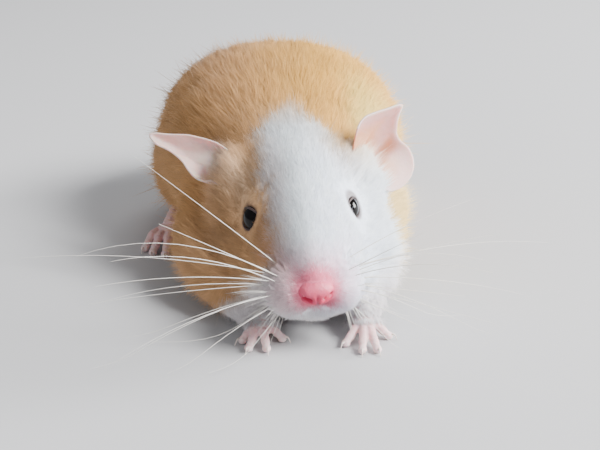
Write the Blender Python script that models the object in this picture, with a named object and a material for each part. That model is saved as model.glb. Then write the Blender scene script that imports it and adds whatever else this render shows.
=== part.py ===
"""A young fancy rat, crouched with its head low, as a life-size model in named pieces.

The animal faces -Y and its left side is at +X. While it is modelled, the point midway
between its eyes is at X = Y = 0 and the floor is at Z = 0. At the end everything is moved
so that the origin is on the floor, under the middle of the whole model.
"""

import math
import random

import bmesh
import bpy
from mathutils import Matrix, Vector

# All sizes below are in millimetres and degrees; MM turns them into Blender's metres.
MM = 0.001
GAP = 0.3

# Trunk, from the nose to the root of the tail:
# (distance behind the eyes, half width, top, underside)
TRUNK = (
    (-19.6, 1.8, 14.3, 11.0),
    (-18.0, 3.5, 16.0, 9.6),
    (-15.0, 5.4, 18.4, 7.2),
    (-10.0, 7.8, 21.6, 5.6),
    (-5.0, 9.3, 24.5, 4.8),
    (0.0, 10.4, 27.1, 4.2),
    (5.0, 12.5, 29.1, 3.6),
    (10.0, 14.8, 30.2, 3.2),
    (15.0, 17.0, 31.0, 2.8),
    (22.0, 20.2, 32.7, 2.4),
    (30.0, 23.0, 35.5, 2.0),
    (38.0, 24.6, 37.5, 1.8),
    (46.0, 25.0, 38.2, 1.8),
    (54.0, 24.2, 37.0, 1.8),
    (62.0, 21.8, 33.6, 2.0),
    (69.0, 18.4, 28.8, 2.2),
    (75.0, 13.8, 22.6, 2.6),
    (79.0, 9.0, 17.2, 3.4),
    (81.6, 4.6, 12.6, 5.0),
)
# Where the trunk is divided: name of the piece ahead, (behind the eyes, lean)
CUTS = {"head": (10.5, -14), "neck": (19.0, -10), "chest": (36.0, 0), "loin": (56.0, 8)}
CUT_PIVOT_HEIGHT = 16
FAR = 120
FACE_SQUARENESS = 1.8
TRUNK_SQUARENESS = 2.25
SQUARE_FROM = 15.0
WIDEST_HEIGHT = 0.42
TRUNK_SIDES = 40

# Swellings on each side: (side, behind the eyes, height), (half sizes), turn about Z
CHEEK = ((7.8, 6.5, 10.6), (8.4, 13.0, 8.0), -12)
TEMPLE = ((8.8, 10.0, 16.5), (7.4, 8.5, 7.6), 0)
JOWL = ((5.8, -3.0, 8.6), (6.4, 7.6, 4.8), -8)
MUZZLE = ((3.9, -14.2, 11.0), (4.3, 5.6, 4.6), -12)
HAUNCH = ((17.6, 51.0, 13.2), (8.8, 17.5, 12.0), 4)
CHIN = ((0.0, -11.5, 7.7), (5.4, 5.6, 3.2), 0)
NOSE = ((0.0, -18.5, 12.3), (2.8, 2.0, 2.2), 0)
NOSE_SKIN = 0.3

# Each foreleg runs from the shoulder past the elbow to the wrist of its paw.
FORELEG = {
    "left": ((15.0, 21.0, 12.2), (13.7, 13.5, 7.6), (11.7, 3.0, 5.4)),
    "right": ((13.2, 21.0, 13.0), (15.6, 13.0, 7.4), (13.6, 3.0, 5.4)),
}
FORELEG_RADII = (7.8, 6.8, 4.8, 2.9)
FORELEG_STEPS = 9
FORELEG_SIDES = 16
FORELEG_SKIN = 0.8
HAUNCH_SKIN = 0.9

# The head is tilted, with its left side the higher one, and the snout turns to its right.
HEAD_TURN = 0.6
HEAD_ROLL = 4.4
ROLL_AXIS_HEIGHT = 17.0
ROLL_FULL_AHEAD_OF = 8.0
ROLL_ENDS_AT = 20.0

EYE = (6.85, -0.2, 18.2)
EYE_RADIUS = 2.85
LID_RADIUS = 2.55
LID_THICKNESS = 0.5
LID_STEPS = 14
EYE_YAW = 58
EYE_PITCH = 14

NOSTRIL = ((1.55, -20.0, 11.7), (0.75, 1.4, 0.5), 28)
PHILTRUM = ((0.0, -18.9, 10.6), (0.3, 2.4, 2.6), 0)
MOUTH_FRONT = (-18.6, 8.9)
MOUTH_SLOPE = 7
MOUTH_BACK = -6.5

# Each ear, in the plane of its own leaf: (out, up) from the middle of its root
EAR_RIM = {
    "left": (
        (-3.4, 6.4),
        (-2.2, 7.3),
        (-0.6, 8.0),
        (1.5, 8.3),
        (4.2, 8.6),
        (7.4, 9.0),
        (6.3, 7.3),
        (5.5, 5.6),
        (5.1, 3.9),
        (5.7, 2.3),
        (7.0, 1.0),
        (7.7, -0.7),
        (7.6, -2.6),
        (6.4, -4.4),
        (4.2, -5.7),
        (1.8, -6.0),
        (0.0, -5.5),
    ),
    "right": (
        (-2.0, 4.7),
        (0.1, 5.1),
        (2.1, 5.3),
        (4.7, 5.4),
        (8.0, 5.0),
        (11.4, 4.6),
        (9.9, 3.3),
        (7.7, 2.8),
        (5.7, 2.1),
        (3.9, 1.1),
        (2.5, -0.2),
        (1.0, -1.2),
        (-0.9, -1.8),
        (-2.6, -1.7),
    ),
}
EAR_ROOT = {"left": (15.2, 9.0, 23.2), "right": (16.2, 10.6, 24.2)}
EAR_ROOT_HALF = 3.2
EAR_MOUND = {
    "left": ((8.8, 9.2, 22.2), (4.8, 5.8, 5.2), 0),
    "right": ((10.0, 10.8, 22.4), (5.0, 6.0, 5.4), 0),
}
EAR_SUNK = 5.6
EAR_CUP = 2.4
EAR_CUP_REACH = 0.8
EAR_CURL = 1.2
EAR_THICKNESS = 0.8
# How many times as thick as at its middle an ear is at its root, and how much it thins
EAR_ROOT_STOUT = 1.6
EAR_THINS = 1.0
EAR_STEPS = 5
EAR_POINTS = 18
# (splay from the head, lean back) of each ear
EAR_POSE = {"left": (35, 15), "right": (25, 40)}

WHISKER_ROOT = 0.55
WHISKER_TIP = 0.16
WHISKER_CLEARS = 0.6
WHISKER_BENDS_AT = 3.5
# Rows from the top down: (rise, length, sag, number in the row)
WHISKER_ROWS = (
    (42, 28, 0.08, 2),
    (24, 45, 0.30, 3),
    (7, 39, 0.16, 3),
    (-6, 32, 0.14, 3),
    (-24, 23, 0.10, 2),
)
# How much lower and shorter than that the whiskers of each side are held
WHISKER_DROP = {"left": 13, "right": 0}
WHISKER_REACH = {"left": 0.84, "right": 1.0}
# Where the foremost whisker of the top row is rooted, and the steps to its neighbours
WHISKER_BED = (4.6, -15.6, 13.6)
WHISKER_ROW_DROP = 1.15
WHISKER_BED_DEPTH = 3.2
WHISKER_BED_TAPER = 0.5
# The foremost whiskers point forward and are the shortest, the last ones point back.
WHISKER_FORWARD = 24
WHISKER_FAN = 30
SHORTEST_WHISKER = 0.72
WHISKER_SWEEP = 0.10
WHISKER_STEPS = 4
WHISKER_SIDES = 3
WHISKER_SEED = 11
PAD = ((5.2, -13.6, 11.2), (4.0, 4.6, 4.4), -12)

# Forefoot: wrist, and (tip side, tip behind the eyes) of its four fingers
WRIST = {"left": (9.2, -9.0, 3.2), "right": (-7.7, -8.2, 3.2)}
FINGER_TIPS = {
    "left": ((5.6, -13.6), (7.9, -16.2), (10.3, -16.2), (12.9, -11.6)),
    "right": ((-4.4, -10.8), (-7.2, -14.1), (-10.0, -13.7), (-10.9, -10.8)),
}
FINGER_RADII = (1.15, 1.0, 0.85, 0.82)
FINGER_KNUCKLE_AT = 0.5
FINGER_TIP_RISE = 0.85
PALM_OFFSET = (0, -0.6, -0.6)
KNUCKLE_HEIGHT = 2.5
PALM = (2.9, 3.0, 2.0)

# Hind foot: heel and ball, and the spread of its five toes from the ball
HEEL = {"left": (16.6, 60.0), "right": (19.5, 58.0)}
BALL = {"left": (17.2, 39.0), "right": (22.6, 36.0)}
TOE_LENGTHS = (6.2, 8.2, 9.0, 8.4, 6.4)
TOE_SPREAD = 36
TOE_ROOTS_WIDTH = 5.0
TOE_RADII = (1.3, 1.1, 0.95, 0.95)
TOE_KNUCKLE_AT = 0.45
TOE_TIP_RISE = 0.7
END_JOINT_AT = 0.6
PAD_SWELL = 1.1
TOE_HEIGHT = 2.3
SOLE_HEIGHT = 1.9
SOLE_RADII = (2.0, 2.4, 2.7)
BALL_PAD = (3.6, 3.4, 2.2)
HEEL_PAD = (2.6, 2.8, 2.2)

DIGIT_SIDES = 10
CLAW_LENGTH = 1.0
CLAW_HEIGHT = 0.35
CLAW_RADII = (0.5, 0.28)

# Tail, lying on the floor behind: (side, behind the eyes, height) along its middle line
TAIL_PATH = (
    (0.0, 77.0, 8.4),
    (-1.2, 85.0, 5.6),
    (-1.8, 94.0, 2.6),
    (1.0, 104.0, 2.0),
    (8.0, 115.0, 1.8),
    (19.0, 120.0, 1.6),
    (29.0, 116.0, 1.3),
    (34.0, 106.0, 1.1),
    (33.6, 96.0, 0.8),
)
TAIL_ROOT_RADIUS = 3.1
TAIL_TIP_RADIUS = 0.7
TAIL_TAPER = 0.8
# How low the tail may lie, as a share of its radius: a little of it is flat
TAIL_LOWEST = 0.96
TAIL_NODES = 4
TAIL_STEPS = 40
TAIL_SIDES = 12

FLESH_VOXEL = 0.62
FLESH_SMOOTHING = 10
FLESH_TRIANGLES = 3700
PAW_VOXEL = 0.3
PAW_TRIANGLES = 400

FAWN = (0.62, 0.42, 0.24)
WHITE = (0.80, 0.79, 0.78)
PINK = (0.74, 0.47, 0.46)
NOSE_PINK = (0.76, 0.36, 0.41)
EYE_BLACK = (0.012, 0.009, 0.010)
SIDES = {"left": 1, "right": -1}


def clear_scene():
    for obj in list(bpy.data.objects):
        bpy.data.objects.remove(obj)


def material(name, colour, roughness):
    made = bpy.data.materials.new(name)
    made.use_nodes = True
    shader = made.node_tree.nodes["Principled BSDF"]
    shader.inputs["Base Color"].default_value = (*colour, 1)
    shader.inputs["Roughness"].default_value = roughness
    shader.inputs["Metallic"].default_value = 0
    return made


def placed(name, bm):
    """The bmesh, in millimetres, as a new object in metres."""
    bmesh.ops.scale(bm, vec=(MM, MM, MM), verts=bm.verts)
    bmesh.ops.recalc_face_normals(bm, faces=bm.faces)
    mesh = bpy.data.meshes.new(name)
    bm.to_mesh(mesh)
    bm.free()
    obj = bpy.data.objects.new(name, mesh)
    bpy.context.collection.objects.link(obj)
    return obj


def drop(*objects):
    for obj in objects:
        bpy.data.objects.remove(obj)


def bake(obj):
    """Turns the object's modifiers into its mesh."""
    graph = bpy.context.evaluated_depsgraph_get()
    mesh = bpy.data.meshes.new_from_object(obj.evaluated_get(graph))
    obj.modifiers.clear()
    obj.data = mesh


def boolean(target, other, operation):
    """Joins or cuts the target with the other object, which is used up.

    The fused flesh can touch itself in a crease, where the exact solver gives nothing.
    """
    modifier = target.modifiers.new(operation, "BOOLEAN")
    modifier.object = other
    modifier.operation = operation
    modifier.solver = "MANIFOLD"
    bake(target)
    drop(other)


def keep_largest(obj):
    """Deletes every closed surface of the mesh but the largest."""
    bm = bmesh.new()
    bm.from_mesh(obj.data)
    left = set(bm.faces)
    surfaces = []
    while left:
        edge_of_walk = [left.pop()]
        surface = set(edge_of_walk)
        while edge_of_walk:
            face = edge_of_walk.pop()
            for edge in face.edges:
                fresh = [near for near in edge.link_faces if near in left]
                left.difference_update(fresh)
                surface.update(fresh)
                edge_of_walk.extend(fresh)
        surfaces.append(surface)
    surfaces.sort(key=lambda faces: sum(face.calc_area() for face in faces))
    for surface in surfaces[:-1]:
        bmesh.ops.delete(bm, geom=list(surface), context="FACES")
    bm.to_mesh(obj.data)
    bm.free()


def join(name, objects):
    """One object that holds all the meshes, not yet fused."""
    bm = bmesh.new()
    for obj in objects:
        bm.from_mesh(obj.data)
    drop(*objects)
    mesh = bpy.data.meshes.new(name)
    bm.to_mesh(mesh)
    bm.free()
    obj = bpy.data.objects.new(name, mesh)
    bpy.context.collection.objects.link(obj)
    return obj


def fuse(name, objects, voxel, smooth_rounds, triangles):
    """The objects grown together, with the creases between them softened."""
    obj = join(name, objects)
    remesh = obj.modifiers.new("Fuse", "REMESH")
    remesh.mode = "VOXEL"
    remesh.voxel_size = voxel * MM
    smooth = obj.modifiers.new("Soften", "SMOOTH")
    smooth.factor = 0.5
    smooth.iterations = smooth_rounds
    bake(obj)
    thin = obj.modifiers.new("Thin", "DECIMATE")
    thin.ratio = triangles / (2 * len(obj.data.polygons))
    bake(obj)
    return obj


def loft(name, rings):
    """A closed skin over rings of points, with both ends filled."""
    bm = bmesh.new()
    loops = []
    for ring in rings:
        corners = [bm.verts.new(point) for point in ring]
        ahead = corners[1:] + corners[:1]
        loops.append([bm.edges.new(pair) for pair in zip(corners, ahead)])
    for near, far in zip(loops, loops[1:]):
        bmesh.ops.bridge_loops(bm, edges=near + far)
    for end in (loops[0], loops[-1]):
        bmesh.ops.edgeloop_fill(bm, edges=end)
    return placed(name, bm)


def loop_loft(name, rings):
    """A closed ring over sections that follow each other round it."""
    bm = bmesh.new()
    sections = [[bm.verts.new(point) for point in ring] for ring in rings]
    for near, far in zip(sections, sections[1:] + sections[:1]):
        for a, b, c, d in zip(near, near[1:] + near[:1], far[1:] + far[:1], far):
            bm.faces.new((a, b, c, d))
    return placed(name, bm)


def tube(name, points, radii, sides):
    """A round bar along the points, as thick at each as its radius says."""
    points = [Vector(point) for point in points]
    rings = []
    across = None
    for index, point in enumerate(points):
        ahead = points[min(index + 1, len(points) - 1)]
        behind = points[max(index - 1, 0)]
        along = (ahead - behind).normalized()
        if across is None:
            across = along.orthogonal().normalized()
        across = (across - along * across.dot(along)).normalized()
        over = along.cross(across)
        turns = [2 * math.pi * side / sides for side in range(sides)]
        rings.append(
            [
                point + radii[index] * (math.cos(t) * across + math.sin(t) * over)
                for t in turns
            ]
        )
    return loft(name, rings)


def ellipsoid(name, centre, half_sizes, turn=0.0, segments=18):
    bm = bmesh.new()
    bmesh.ops.create_uvsphere(bm, u_segments=segments, v_segments=segments // 2, radius=1)
    bmesh.ops.scale(bm, vec=half_sizes, verts=bm.verts)
    spin = Matrix.Rotation(math.radians(turn), 3, "Z")
    bmesh.ops.rotate(bm, cent=(0, 0, 0), matrix=spin, verts=bm.verts)
    bmesh.ops.translate(bm, vec=centre, verts=bm.verts)
    return placed(name, bm)


def block(name, low, high, pivot=(0, 0, 0), tip=0.0):
    """A box between two corners, tipped about a line along X through the pivot."""
    low, high = Vector(low), Vector(high)
    bm = bmesh.new()
    bmesh.ops.create_cube(bm, size=1)
    bmesh.ops.scale(bm, vec=high - low, verts=bm.verts)
    bmesh.ops.translate(bm, vec=(low + high) / 2, verts=bm.verts)
    lean = Matrix.Rotation(math.radians(tip), 3, "X")
    bmesh.ops.rotate(bm, cent=pivot, matrix=lean, verts=bm.verts)
    return placed(name, bm)


def smooth_path(points, count):
    """Points at even steps along a smooth curve through the given ones."""
    knots = [Vector(point) for point in points]
    knots = [2 * knots[0] - knots[1], *knots, 2 * knots[-1] - knots[-2]]
    spans = len(knots) - 3
    path = []
    for step in range(count + 1):
        place = min(step * spans / count, spans - 1e-9)
        index = int(place)
        t = place - index
        a, b, c, d = knots[index : index + 4]
        path.append(
            0.5
            * (
                2 * b
                + (c - a) * t
                + (2 * a - 5 * b + 4 * c - d) * t**2
                + (3 * b - a - 3 * c + d) * t**3
            )
        )
    return path


def roll_at(y):
    """How far the body is rolled at this distance behind the eyes, in radians."""
    part = (ROLL_ENDS_AT - y) / (ROLL_ENDS_AT - ROLL_FULL_AHEAD_OF)
    part = min(max(part, 0), 1)
    return -math.radians(HEAD_ROLL) * part * part * (3 - 2 * part)


def rolled(point):
    """The point where the tilt of the head takes it."""
    x, y, z = point
    x += math.tan(math.radians(HEAD_TURN)) * min(y, 0)
    angle = roll_at(y)
    z -= ROLL_AXIS_HEIGHT
    return Vector(
        (
            x * math.cos(angle) + z * math.sin(angle),
            y,
            ROLL_AXIS_HEIGHT - x * math.sin(angle) + z * math.cos(angle),
        )
    )


def tilt_head(obj):
    for vertex in obj.data.vertices:
        vertex.co = rolled(vertex.co / MM) * MM


def mirrored(form, side):
    """The same swelling on the other side, where side is -1."""
    (x, y, z), half_sizes, turn = form
    return (side * x, y, z), half_sizes, side * turn


def trunk_ring(y, half_width, top, low):
    """A cross-section of the trunk, squarer than an ellipse and widest low down."""
    middle = low + (top - low) * WIDEST_HEIGHT
    part = min(max(y / SQUARE_FROM, 0), 1)
    power = 2 / (FACE_SQUARENESS + (TRUNK_SQUARENESS - FACE_SQUARENESS) * part)
    ring = []
    for step in range(TRUNK_SIDES):
        turn = 2 * math.pi * step / TRUNK_SIDES
        across, rise = math.cos(turn), math.sin(turn)
        reach = top - middle if rise > 0 else middle - low
        x = math.copysign(abs(across) ** power, across) * half_width
        z = middle + math.copysign(abs(rise) ** power, rise) * reach
        ring.append((x, y, z))
    return ring


def eye_turn(side):
    """The turn that points an eye's own Z axis out through its pupil."""
    yaw = Matrix.Rotation(math.radians(side * EYE_YAW), 3, "Z")
    pitch = Matrix.Rotation(math.radians(90 - EYE_PITCH), 3, "X")
    return yaw @ pitch


def lid_ring(side):
    """The rounded rim of the lids, round the front of an eye."""
    centre = Vector((side * EYE[0], EYE[1], EYE[2]))
    turn = eye_turn(side)
    forward = math.sqrt(EYE_RADIUS**2 - LID_RADIUS**2)
    ring = []
    for step in range(LID_STEPS):
        angle = 2 * math.pi * step / LID_STEPS
        middle = Vector((math.cos(angle), math.sin(angle), 0)) * LID_RADIUS
        middle.z = forward
        rise = Vector((0, 0, LID_THICKNESS))
        reach = middle.normalized() * LID_THICKNESS
        corners = (middle - reach, middle - rise, middle + reach, middle + rise)
        ring.append([centre + turn @ corner for corner in corners])
    lid = loop_loft("lid", ring)
    tilt_head(lid)
    return lid


def foreleg(side_name, grow=0.0):
    """A tapered bar from the shoulder, round the elbow and out to the wrist."""
    side = SIDES[side_name]
    stations = [(side * x, y, z) for x, y, z in FORELEG[side_name]] + [WRIST[side_name]]
    path = smooth_path(stations, FORELEG_STEPS)
    radii = []
    for step in range(FORELEG_STEPS + 1):
        place = step / FORELEG_STEPS * (len(FORELEG_RADII) - 1)
        before = min(int(place), len(FORELEG_RADII) - 2)
        near, far = FORELEG_RADII[before : before + 2]
        radii.append(near + (far - near) * (place - before) + grow)
    return tube("foreleg", path, radii, FORELEG_SIDES)


def flesh_forms():
    """The swellings and bars that the animal's flesh is fused from."""
    forms = [loft("trunk", [trunk_ring(*station) for station in TRUNK])]
    for side_name, side in SIDES.items():
        for form in (CHEEK, TEMPLE, JOWL, MUZZLE, HAUNCH, EAR_MOUND[side_name]):
            forms.append(ellipsoid("form", *mirrored(form, side)))
    forms.append(ellipsoid("chin", *CHIN))
    forms.append(ellipsoid("nose", *NOSE))
    for form in forms:
        tilt_head(form)
    return forms + [foreleg(side_name) for side_name in SIDES]


def flesh():
    """Head, trunk and upper legs in one closed skin."""
    body = fuse("flesh", flesh_forms(), FLESH_VOXEL, FLESH_SMOOTHING, FLESH_TRIANGLES)
    for side in SIDES.values():
        boolean(body, lid_ring(side), "UNION")
    return body


def grown(obj, by):
    """A copy of the object with its skin moved out."""
    copy = bpy.data.objects.new(obj.name + "_grown", obj.data.copy())
    bpy.context.collection.objects.link(copy)
    swell = copy.modifiers.new("Swell", "DISPLACE")
    swell.strength = by * MM
    swell.mid_level = 0
    bake(copy)
    return copy


def head_ellipsoid(form, side=1):
    """A function from a growth to an ellipsoid that is tilted with the head."""
    centre, half_sizes, turn = mirrored(form, side)

    def made(grow):
        obj = ellipsoid("region", centre, [half + grow for half in half_sizes], turn)
        tilt_head(obj)
        return obj

    return made


def foreleg_region(side_name):
    """A function from a growth to the form of the foreleg, just outside its flesh."""
    return lambda grow: foreleg(side_name, FORELEG_SKIN + grow)


def haunch_region(side):
    """A function from a growth to the form of the haunch, just outside its flesh."""
    centre, half_sizes, turn = mirrored(HAUNCH, side)

    def made(grow):
        reach = [half + HAUNCH_SKIN + grow for half in half_sizes]
        return ellipsoid("region", centre, reach, turn)

    return made


def ahead_of(y, lean):
    """Everything ahead of a leaning plane that meets the middle of the body at y."""
    pivot = (0, y, CUT_PIVOT_HEIGHT)
    return lambda grow: block(
        "region", (-FAR, -FAR, -FAR), (FAR, y + grow, FAR), pivot, lean
    )


def jaw_region(grow):
    """The wedge below the line of the mouth."""
    front, height = MOUTH_FRONT
    low, high = (-FAR, -FAR, -FAR), (FAR, MOUTH_BACK + grow, height + grow)
    obj = block("region", low, high, (0, front, height), MOUTH_SLOPE)
    tilt_head(obj)
    return obj


def carve(rest, name, region):
    """Takes the part of the flesh inside the region out as a piece of its own."""
    piece = bpy.data.objects.new(name, rest.data.copy())
    bpy.context.collection.objects.link(piece)
    boolean(piece, region(-GAP / 2), "INTERSECT")
    keep_largest(piece)
    boolean(rest, region(GAP / 2), "DIFFERENCE")
    keep_largest(rest)
    return piece


def clear_of_floor(point):
    """The point, raised where a whisker would bend along the floor."""
    if point.z < WHISKER_BENDS_AT:
        depth = WHISKER_BENDS_AT - WHISKER_CLEARS
        point.z = WHISKER_CLEARS + depth * math.exp((point.z - WHISKER_BENDS_AT) / depth)
    return point


def whisker_path(side_name, row, place, draw):
    """Points along one whisker, from inside its pad to its tip."""
    side = SIDES[side_name]
    rise, length, sag, count = WHISKER_ROWS[row]
    rise -= WHISKER_DROP[side_name]
    length *= WHISKER_REACH[side_name]
    back = place / max(count - 1, 1)
    x, y, z = WHISKER_BED
    x -= WHISKER_BED_TAPER * back
    root = Vector((side * x, y + WHISKER_BED_DEPTH * back, z - WHISKER_ROW_DROP * row))
    length *= SHORTEST_WHISKER + (1 - SHORTEST_WHISKER) * back
    length *= draw.uniform(0.94, 1.06)
    rise = math.radians(rise + draw.uniform(-3, 3))
    forward = math.radians(WHISKER_FORWARD - WHISKER_FAN * back)
    out = math.cos(rise)
    heading = Vector(
        (side * out * math.cos(forward), -out * math.sin(forward), math.sin(rise))
    )
    path = []
    for step in range(WHISKER_STEPS + 1):
        t = step / WHISKER_STEPS
        bend = Vector((0, WHISKER_SWEEP, -sag)) * t * t
        path.append(clear_of_floor(rolled(root + length * (heading * t + bend))))
    return path


def whisker_pad(rest, side_name):
    """The pad beside the nose with its whiskers rooted in it."""
    side = SIDES[side_name]
    pad = carve(rest, "whisker_pad_" + side_name, head_ellipsoid(PAD, side))
    draw = random.Random(WHISKER_SEED + side)
    radii = []
    for step in range(WHISKER_STEPS + 1):
        part = step / WHISKER_STEPS
        radii.append((WHISKER_ROOT + (WHISKER_TIP - WHISKER_ROOT) * part) / 2)
    for row, (_, _, _, count) in enumerate(WHISKER_ROWS):
        for place in range(count):
            path = whisker_path(side_name, row, place, draw)
            boolean(pad, tube("whisker", path, radii, WHISKER_SIDES), "UNION")
    keep_largest(pad)
    return pad


def ear_point(side_name, out, up, forward):
    """A point of an ear's own leaf, set on the head."""
    splay, lean = EAR_POSE[side_name]
    point = Vector((out, -forward, up))
    point.rotate(Matrix.Rotation(math.radians(-lean), 3, "X").to_quaternion())
    point.rotate(Matrix.Rotation(math.radians(splay), 3, "Z").to_quaternion())
    x, y, z = Vector(EAR_ROOT[side_name]) + point
    return rolled((SIDES[side_name] * x, y, z))


def ear_rows(side_name):
    """Rows of (out, up, forward) from the root of an ear's leaf to its rim."""
    rim = smooth_path([(out, up, 0) for out, up in EAR_RIM[side_name]], EAR_POINTS)
    rows = []
    for step in range(EAR_STEPS + 1):
        part = step / EAR_STEPS
        row = []
        for index, edge in enumerate(rim):
            around = index / EAR_POINTS
            root = Vector((-EAR_SUNK, EAR_ROOT_HALF * (1 - 2 * around), 0))
            spot = root.lerp(edge, part)
            middle = math.sin(math.pi * around)
            spot.z = EAR_CURL * part**3 * middle**2
            spot.z -= EAR_CUP * middle * math.sin(math.pi * part * EAR_CUP_REACH)
            row.append(spot)
        rows.append(row)
    return rows


def border(grid):
    """The points round the edge of a grid, in order."""
    right = [row[-1] for row in grid[1:]]
    left = [row[0] for row in grid[-2:0:-1]]
    return grid[0] + right + grid[-1][-2::-1] + left


def ear(body, side_name):
    """A cupped leaf, thicker at its root, cut to sit on the head."""
    rows = ear_rows(side_name)
    bm = bmesh.new()
    skins = []
    for facing in (1, -1):
        skin = []
        for step, row in enumerate(rows):
            stout = EAR_ROOT_STOUT - EAR_THINS * step / EAR_STEPS
            lift = facing * stout * EAR_THICKNESS / 2
            points = [ear_point(side_name, x, y, z + lift) for x, y, z in row]
            skin.append([bm.verts.new(point) for point in points])
        for near, far in zip(skin, skin[1:]):
            for a, b, c, d in zip(near, near[1:], far[1:], far):
                bm.faces.new((a, b, c))
                bm.faces.new((a, c, d))
        skins.append(skin)
    front, back = border(skins[0]), border(skins[1])
    for a, b, c, d in zip(front, front[1:] + front[:1], back[1:] + back[:1], back):
        bm.faces.new((a, b, c, d))
    obj = placed("ear_" + side_name, bm)
    fit_to(body, obj)
    return obj


def fit_to(body, obj):
    """Cuts the piece off just short of the flesh."""
    boolean(obj, grown(body, GAP), "DIFFERENCE")
    keep_largest(obj)


def level(obj):
    """Gives the underside of a foot a small flat on the floor."""
    boolean(obj, block("floor", (-FAR, -FAR, -FAR), (FAR, 2 * FAR, 0)), "DIFFERENCE")
    keep_largest(obj)


def digit(root, tip, knuckle_at, knuckle_height, radii):
    """A finger or toe with its end pad and claw."""
    knuckle = root.lerp(tip, knuckle_at)
    knuckle.z = knuckle_height
    path = [root, knuckle, knuckle.lerp(tip, END_JOINT_AT), tip]
    end = radii[-1]
    along = Vector((tip.x - root.x, tip.y - root.y, 0)).normalized()
    claw = tip + along * (end + CLAW_LENGTH)
    claw.z = CLAW_HEIGHT
    return [
        tube("digit", path, radii, DIGIT_SIDES),
        ellipsoid("pad", tip, [end * PAD_SWELL] * 3, segments=12),
        tube("claw", [tip, claw], CLAW_RADII, 6),
    ]


def forepaw(body, side_name):
    """Palm, four spread fingers and their claws."""
    wrist = Vector(WRIST[side_name])
    palm = wrist + Vector(PALM_OFFSET)
    forms = [ellipsoid("palm", palm, PALM)]
    for x, y in FINGER_TIPS[side_name]:
        tip = Vector((x, y, FINGER_RADII[-1] * FINGER_TIP_RISE))
        forms.extend(digit(palm, tip, FINGER_KNUCKLE_AT, KNUCKLE_HEIGHT, FINGER_RADII))
    paw = fuse("forepaw_" + side_name, forms, PAW_VOXEL, 1, PAW_TRIANGLES)
    level(paw)
    fit_to(body, paw)
    return paw


def hindfoot(body, side_name):
    """The long sole that the haunch rests on, with five toes and claws."""
    side = SIDES[side_name]
    heel = Vector((side * HEEL[side_name][0], HEEL[side_name][1], SOLE_HEIGHT))
    ball = Vector((side * BALL[side_name][0], BALL[side_name][1], SOLE_HEIGHT))
    heading = (ball - heel).normalized()
    across = Vector((-heading.y, heading.x, 0))
    forms = [
        tube("sole", [heel, heel.lerp(ball, 0.5), ball], SOLE_RADII, 16),
        ellipsoid("ball", ball, BALL_PAD),
        ellipsoid("heel", heel, HEEL_PAD),
    ]
    for index, length in enumerate(TOE_LENGTHS):
        part = index / (len(TOE_LENGTHS) - 1) - 0.5
        turn = Matrix.Rotation(math.radians(TOE_SPREAD * part), 3, "Z")
        root = ball + across * part * TOE_ROOTS_WIDTH
        tip = root + turn @ heading * length
        tip.z = TOE_RADII[-1] * TOE_TIP_RISE
        forms.extend(digit(root, tip, TOE_KNUCKLE_AT, TOE_HEIGHT, TOE_RADII))
    foot = fuse("hindfoot_" + side_name, forms, PAW_VOXEL, 1, PAW_TRIANGLES)
    level(foot)
    fit_to(body, foot)
    return foot


def tail_pieces(body):
    """The tail in lengths that meet face to face."""
    path = smooth_path(TAIL_PATH, TAIL_STEPS)
    radii = []
    for step, point in enumerate(path):
        part = step / TAIL_STEPS
        radius = TAIL_ROOT_RADIUS + (TAIL_TIP_RADIUS - TAIL_ROOT_RADIUS) * part**TAIL_TAPER
        radii.append(radius)
        point.z = max(point.z, radius * TAIL_LOWEST)
    pieces = []
    each = TAIL_STEPS // TAIL_NODES
    for index in range(TAIL_NODES):
        first, last = index * each, (index + 1) * each
        points = [point.copy() for point in path[first : last + 1]]
        if index:
            points[0] += (points[1] - points[0]).normalized() * GAP
        piece = tube(f"tail_{index + 1}", points, radii[first : last + 1], TAIL_SIDES)
        level(piece)
        if index == 0:
            fit_to(body, piece)
        pieces.append(piece)
    return pieces


def eye(body, side_name):
    """The eyeball, in a socket cut for it in the flesh."""
    side = SIDES[side_name]
    centre = rolled((side * EYE[0], EYE[1], EYE[2]))
    ball = ellipsoid("eye_" + side_name, centre, [EYE_RADIUS] * 3, segments=16)
    socket = ellipsoid("socket", centre, [EYE_RADIUS + GAP] * 3, segments=16)
    boolean(body, socket, "DIFFERENCE")
    return ball


def cut_nose(body):
    """The nose leather, with its two nostrils."""
    centre, half_sizes, turn = NOSE
    region = (centre, [half + NOSE_SKIN for half in half_sizes], turn)
    nose = carve(body, "nose", head_ellipsoid(region))
    for side in SIDES.values():
        nostril = ellipsoid("nostril", *mirrored(NOSTRIL, side), segments=10)
        tilt_head(nostril)
        boolean(nose, nostril, "DIFFERENCE")
    return nose


def all_pieces():
    """(piece, material) of the whole animal."""
    fawn = material("fawn coat", FAWN, 0.9)
    white = material("white coat", WHITE, 0.9)
    pink = material("bare skin", PINK, 0.55)
    nose_pink = material("nose skin", NOSE_PINK, 0.4)
    black = material("eye", EYE_BLACK, 0.06)
    body = flesh()
    dressed = []
    for name in SIDES:
        dressed.append((forepaw(body, name), pink))
        dressed.append((hindfoot(body, name), pink))
        dressed.append((ear(body, name), pink))
    dressed.extend((piece, pink) for piece in tail_pieces(body))
    for name in SIDES:
        dressed.append((eye(body, name), black))
    boolean(body, head_ellipsoid(PHILTRUM)(0), "DIFFERENCE")
    dressed.append((cut_nose(body), nose_pink))
    for name in SIDES:
        dressed.append((carve(body, "foreleg_" + name, foreleg_region(name)), fawn))
    for name in SIDES:
        dressed.append((whisker_pad(body, name), white))
    dressed.append((carve(body, "jaw", jaw_region), white))
    for name, side in SIDES.items():
        dressed.append((carve(body, "hindleg_" + name, haunch_region(side)), fawn))
    for name, (behind, lean) in CUTS.items():
        finish = white if name == "head" else fawn
        dressed.append((carve(body, name, ahead_of(behind, lean)), finish))
    body.name = "rump"
    dressed.append((body, fawn))
    return dressed


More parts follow.
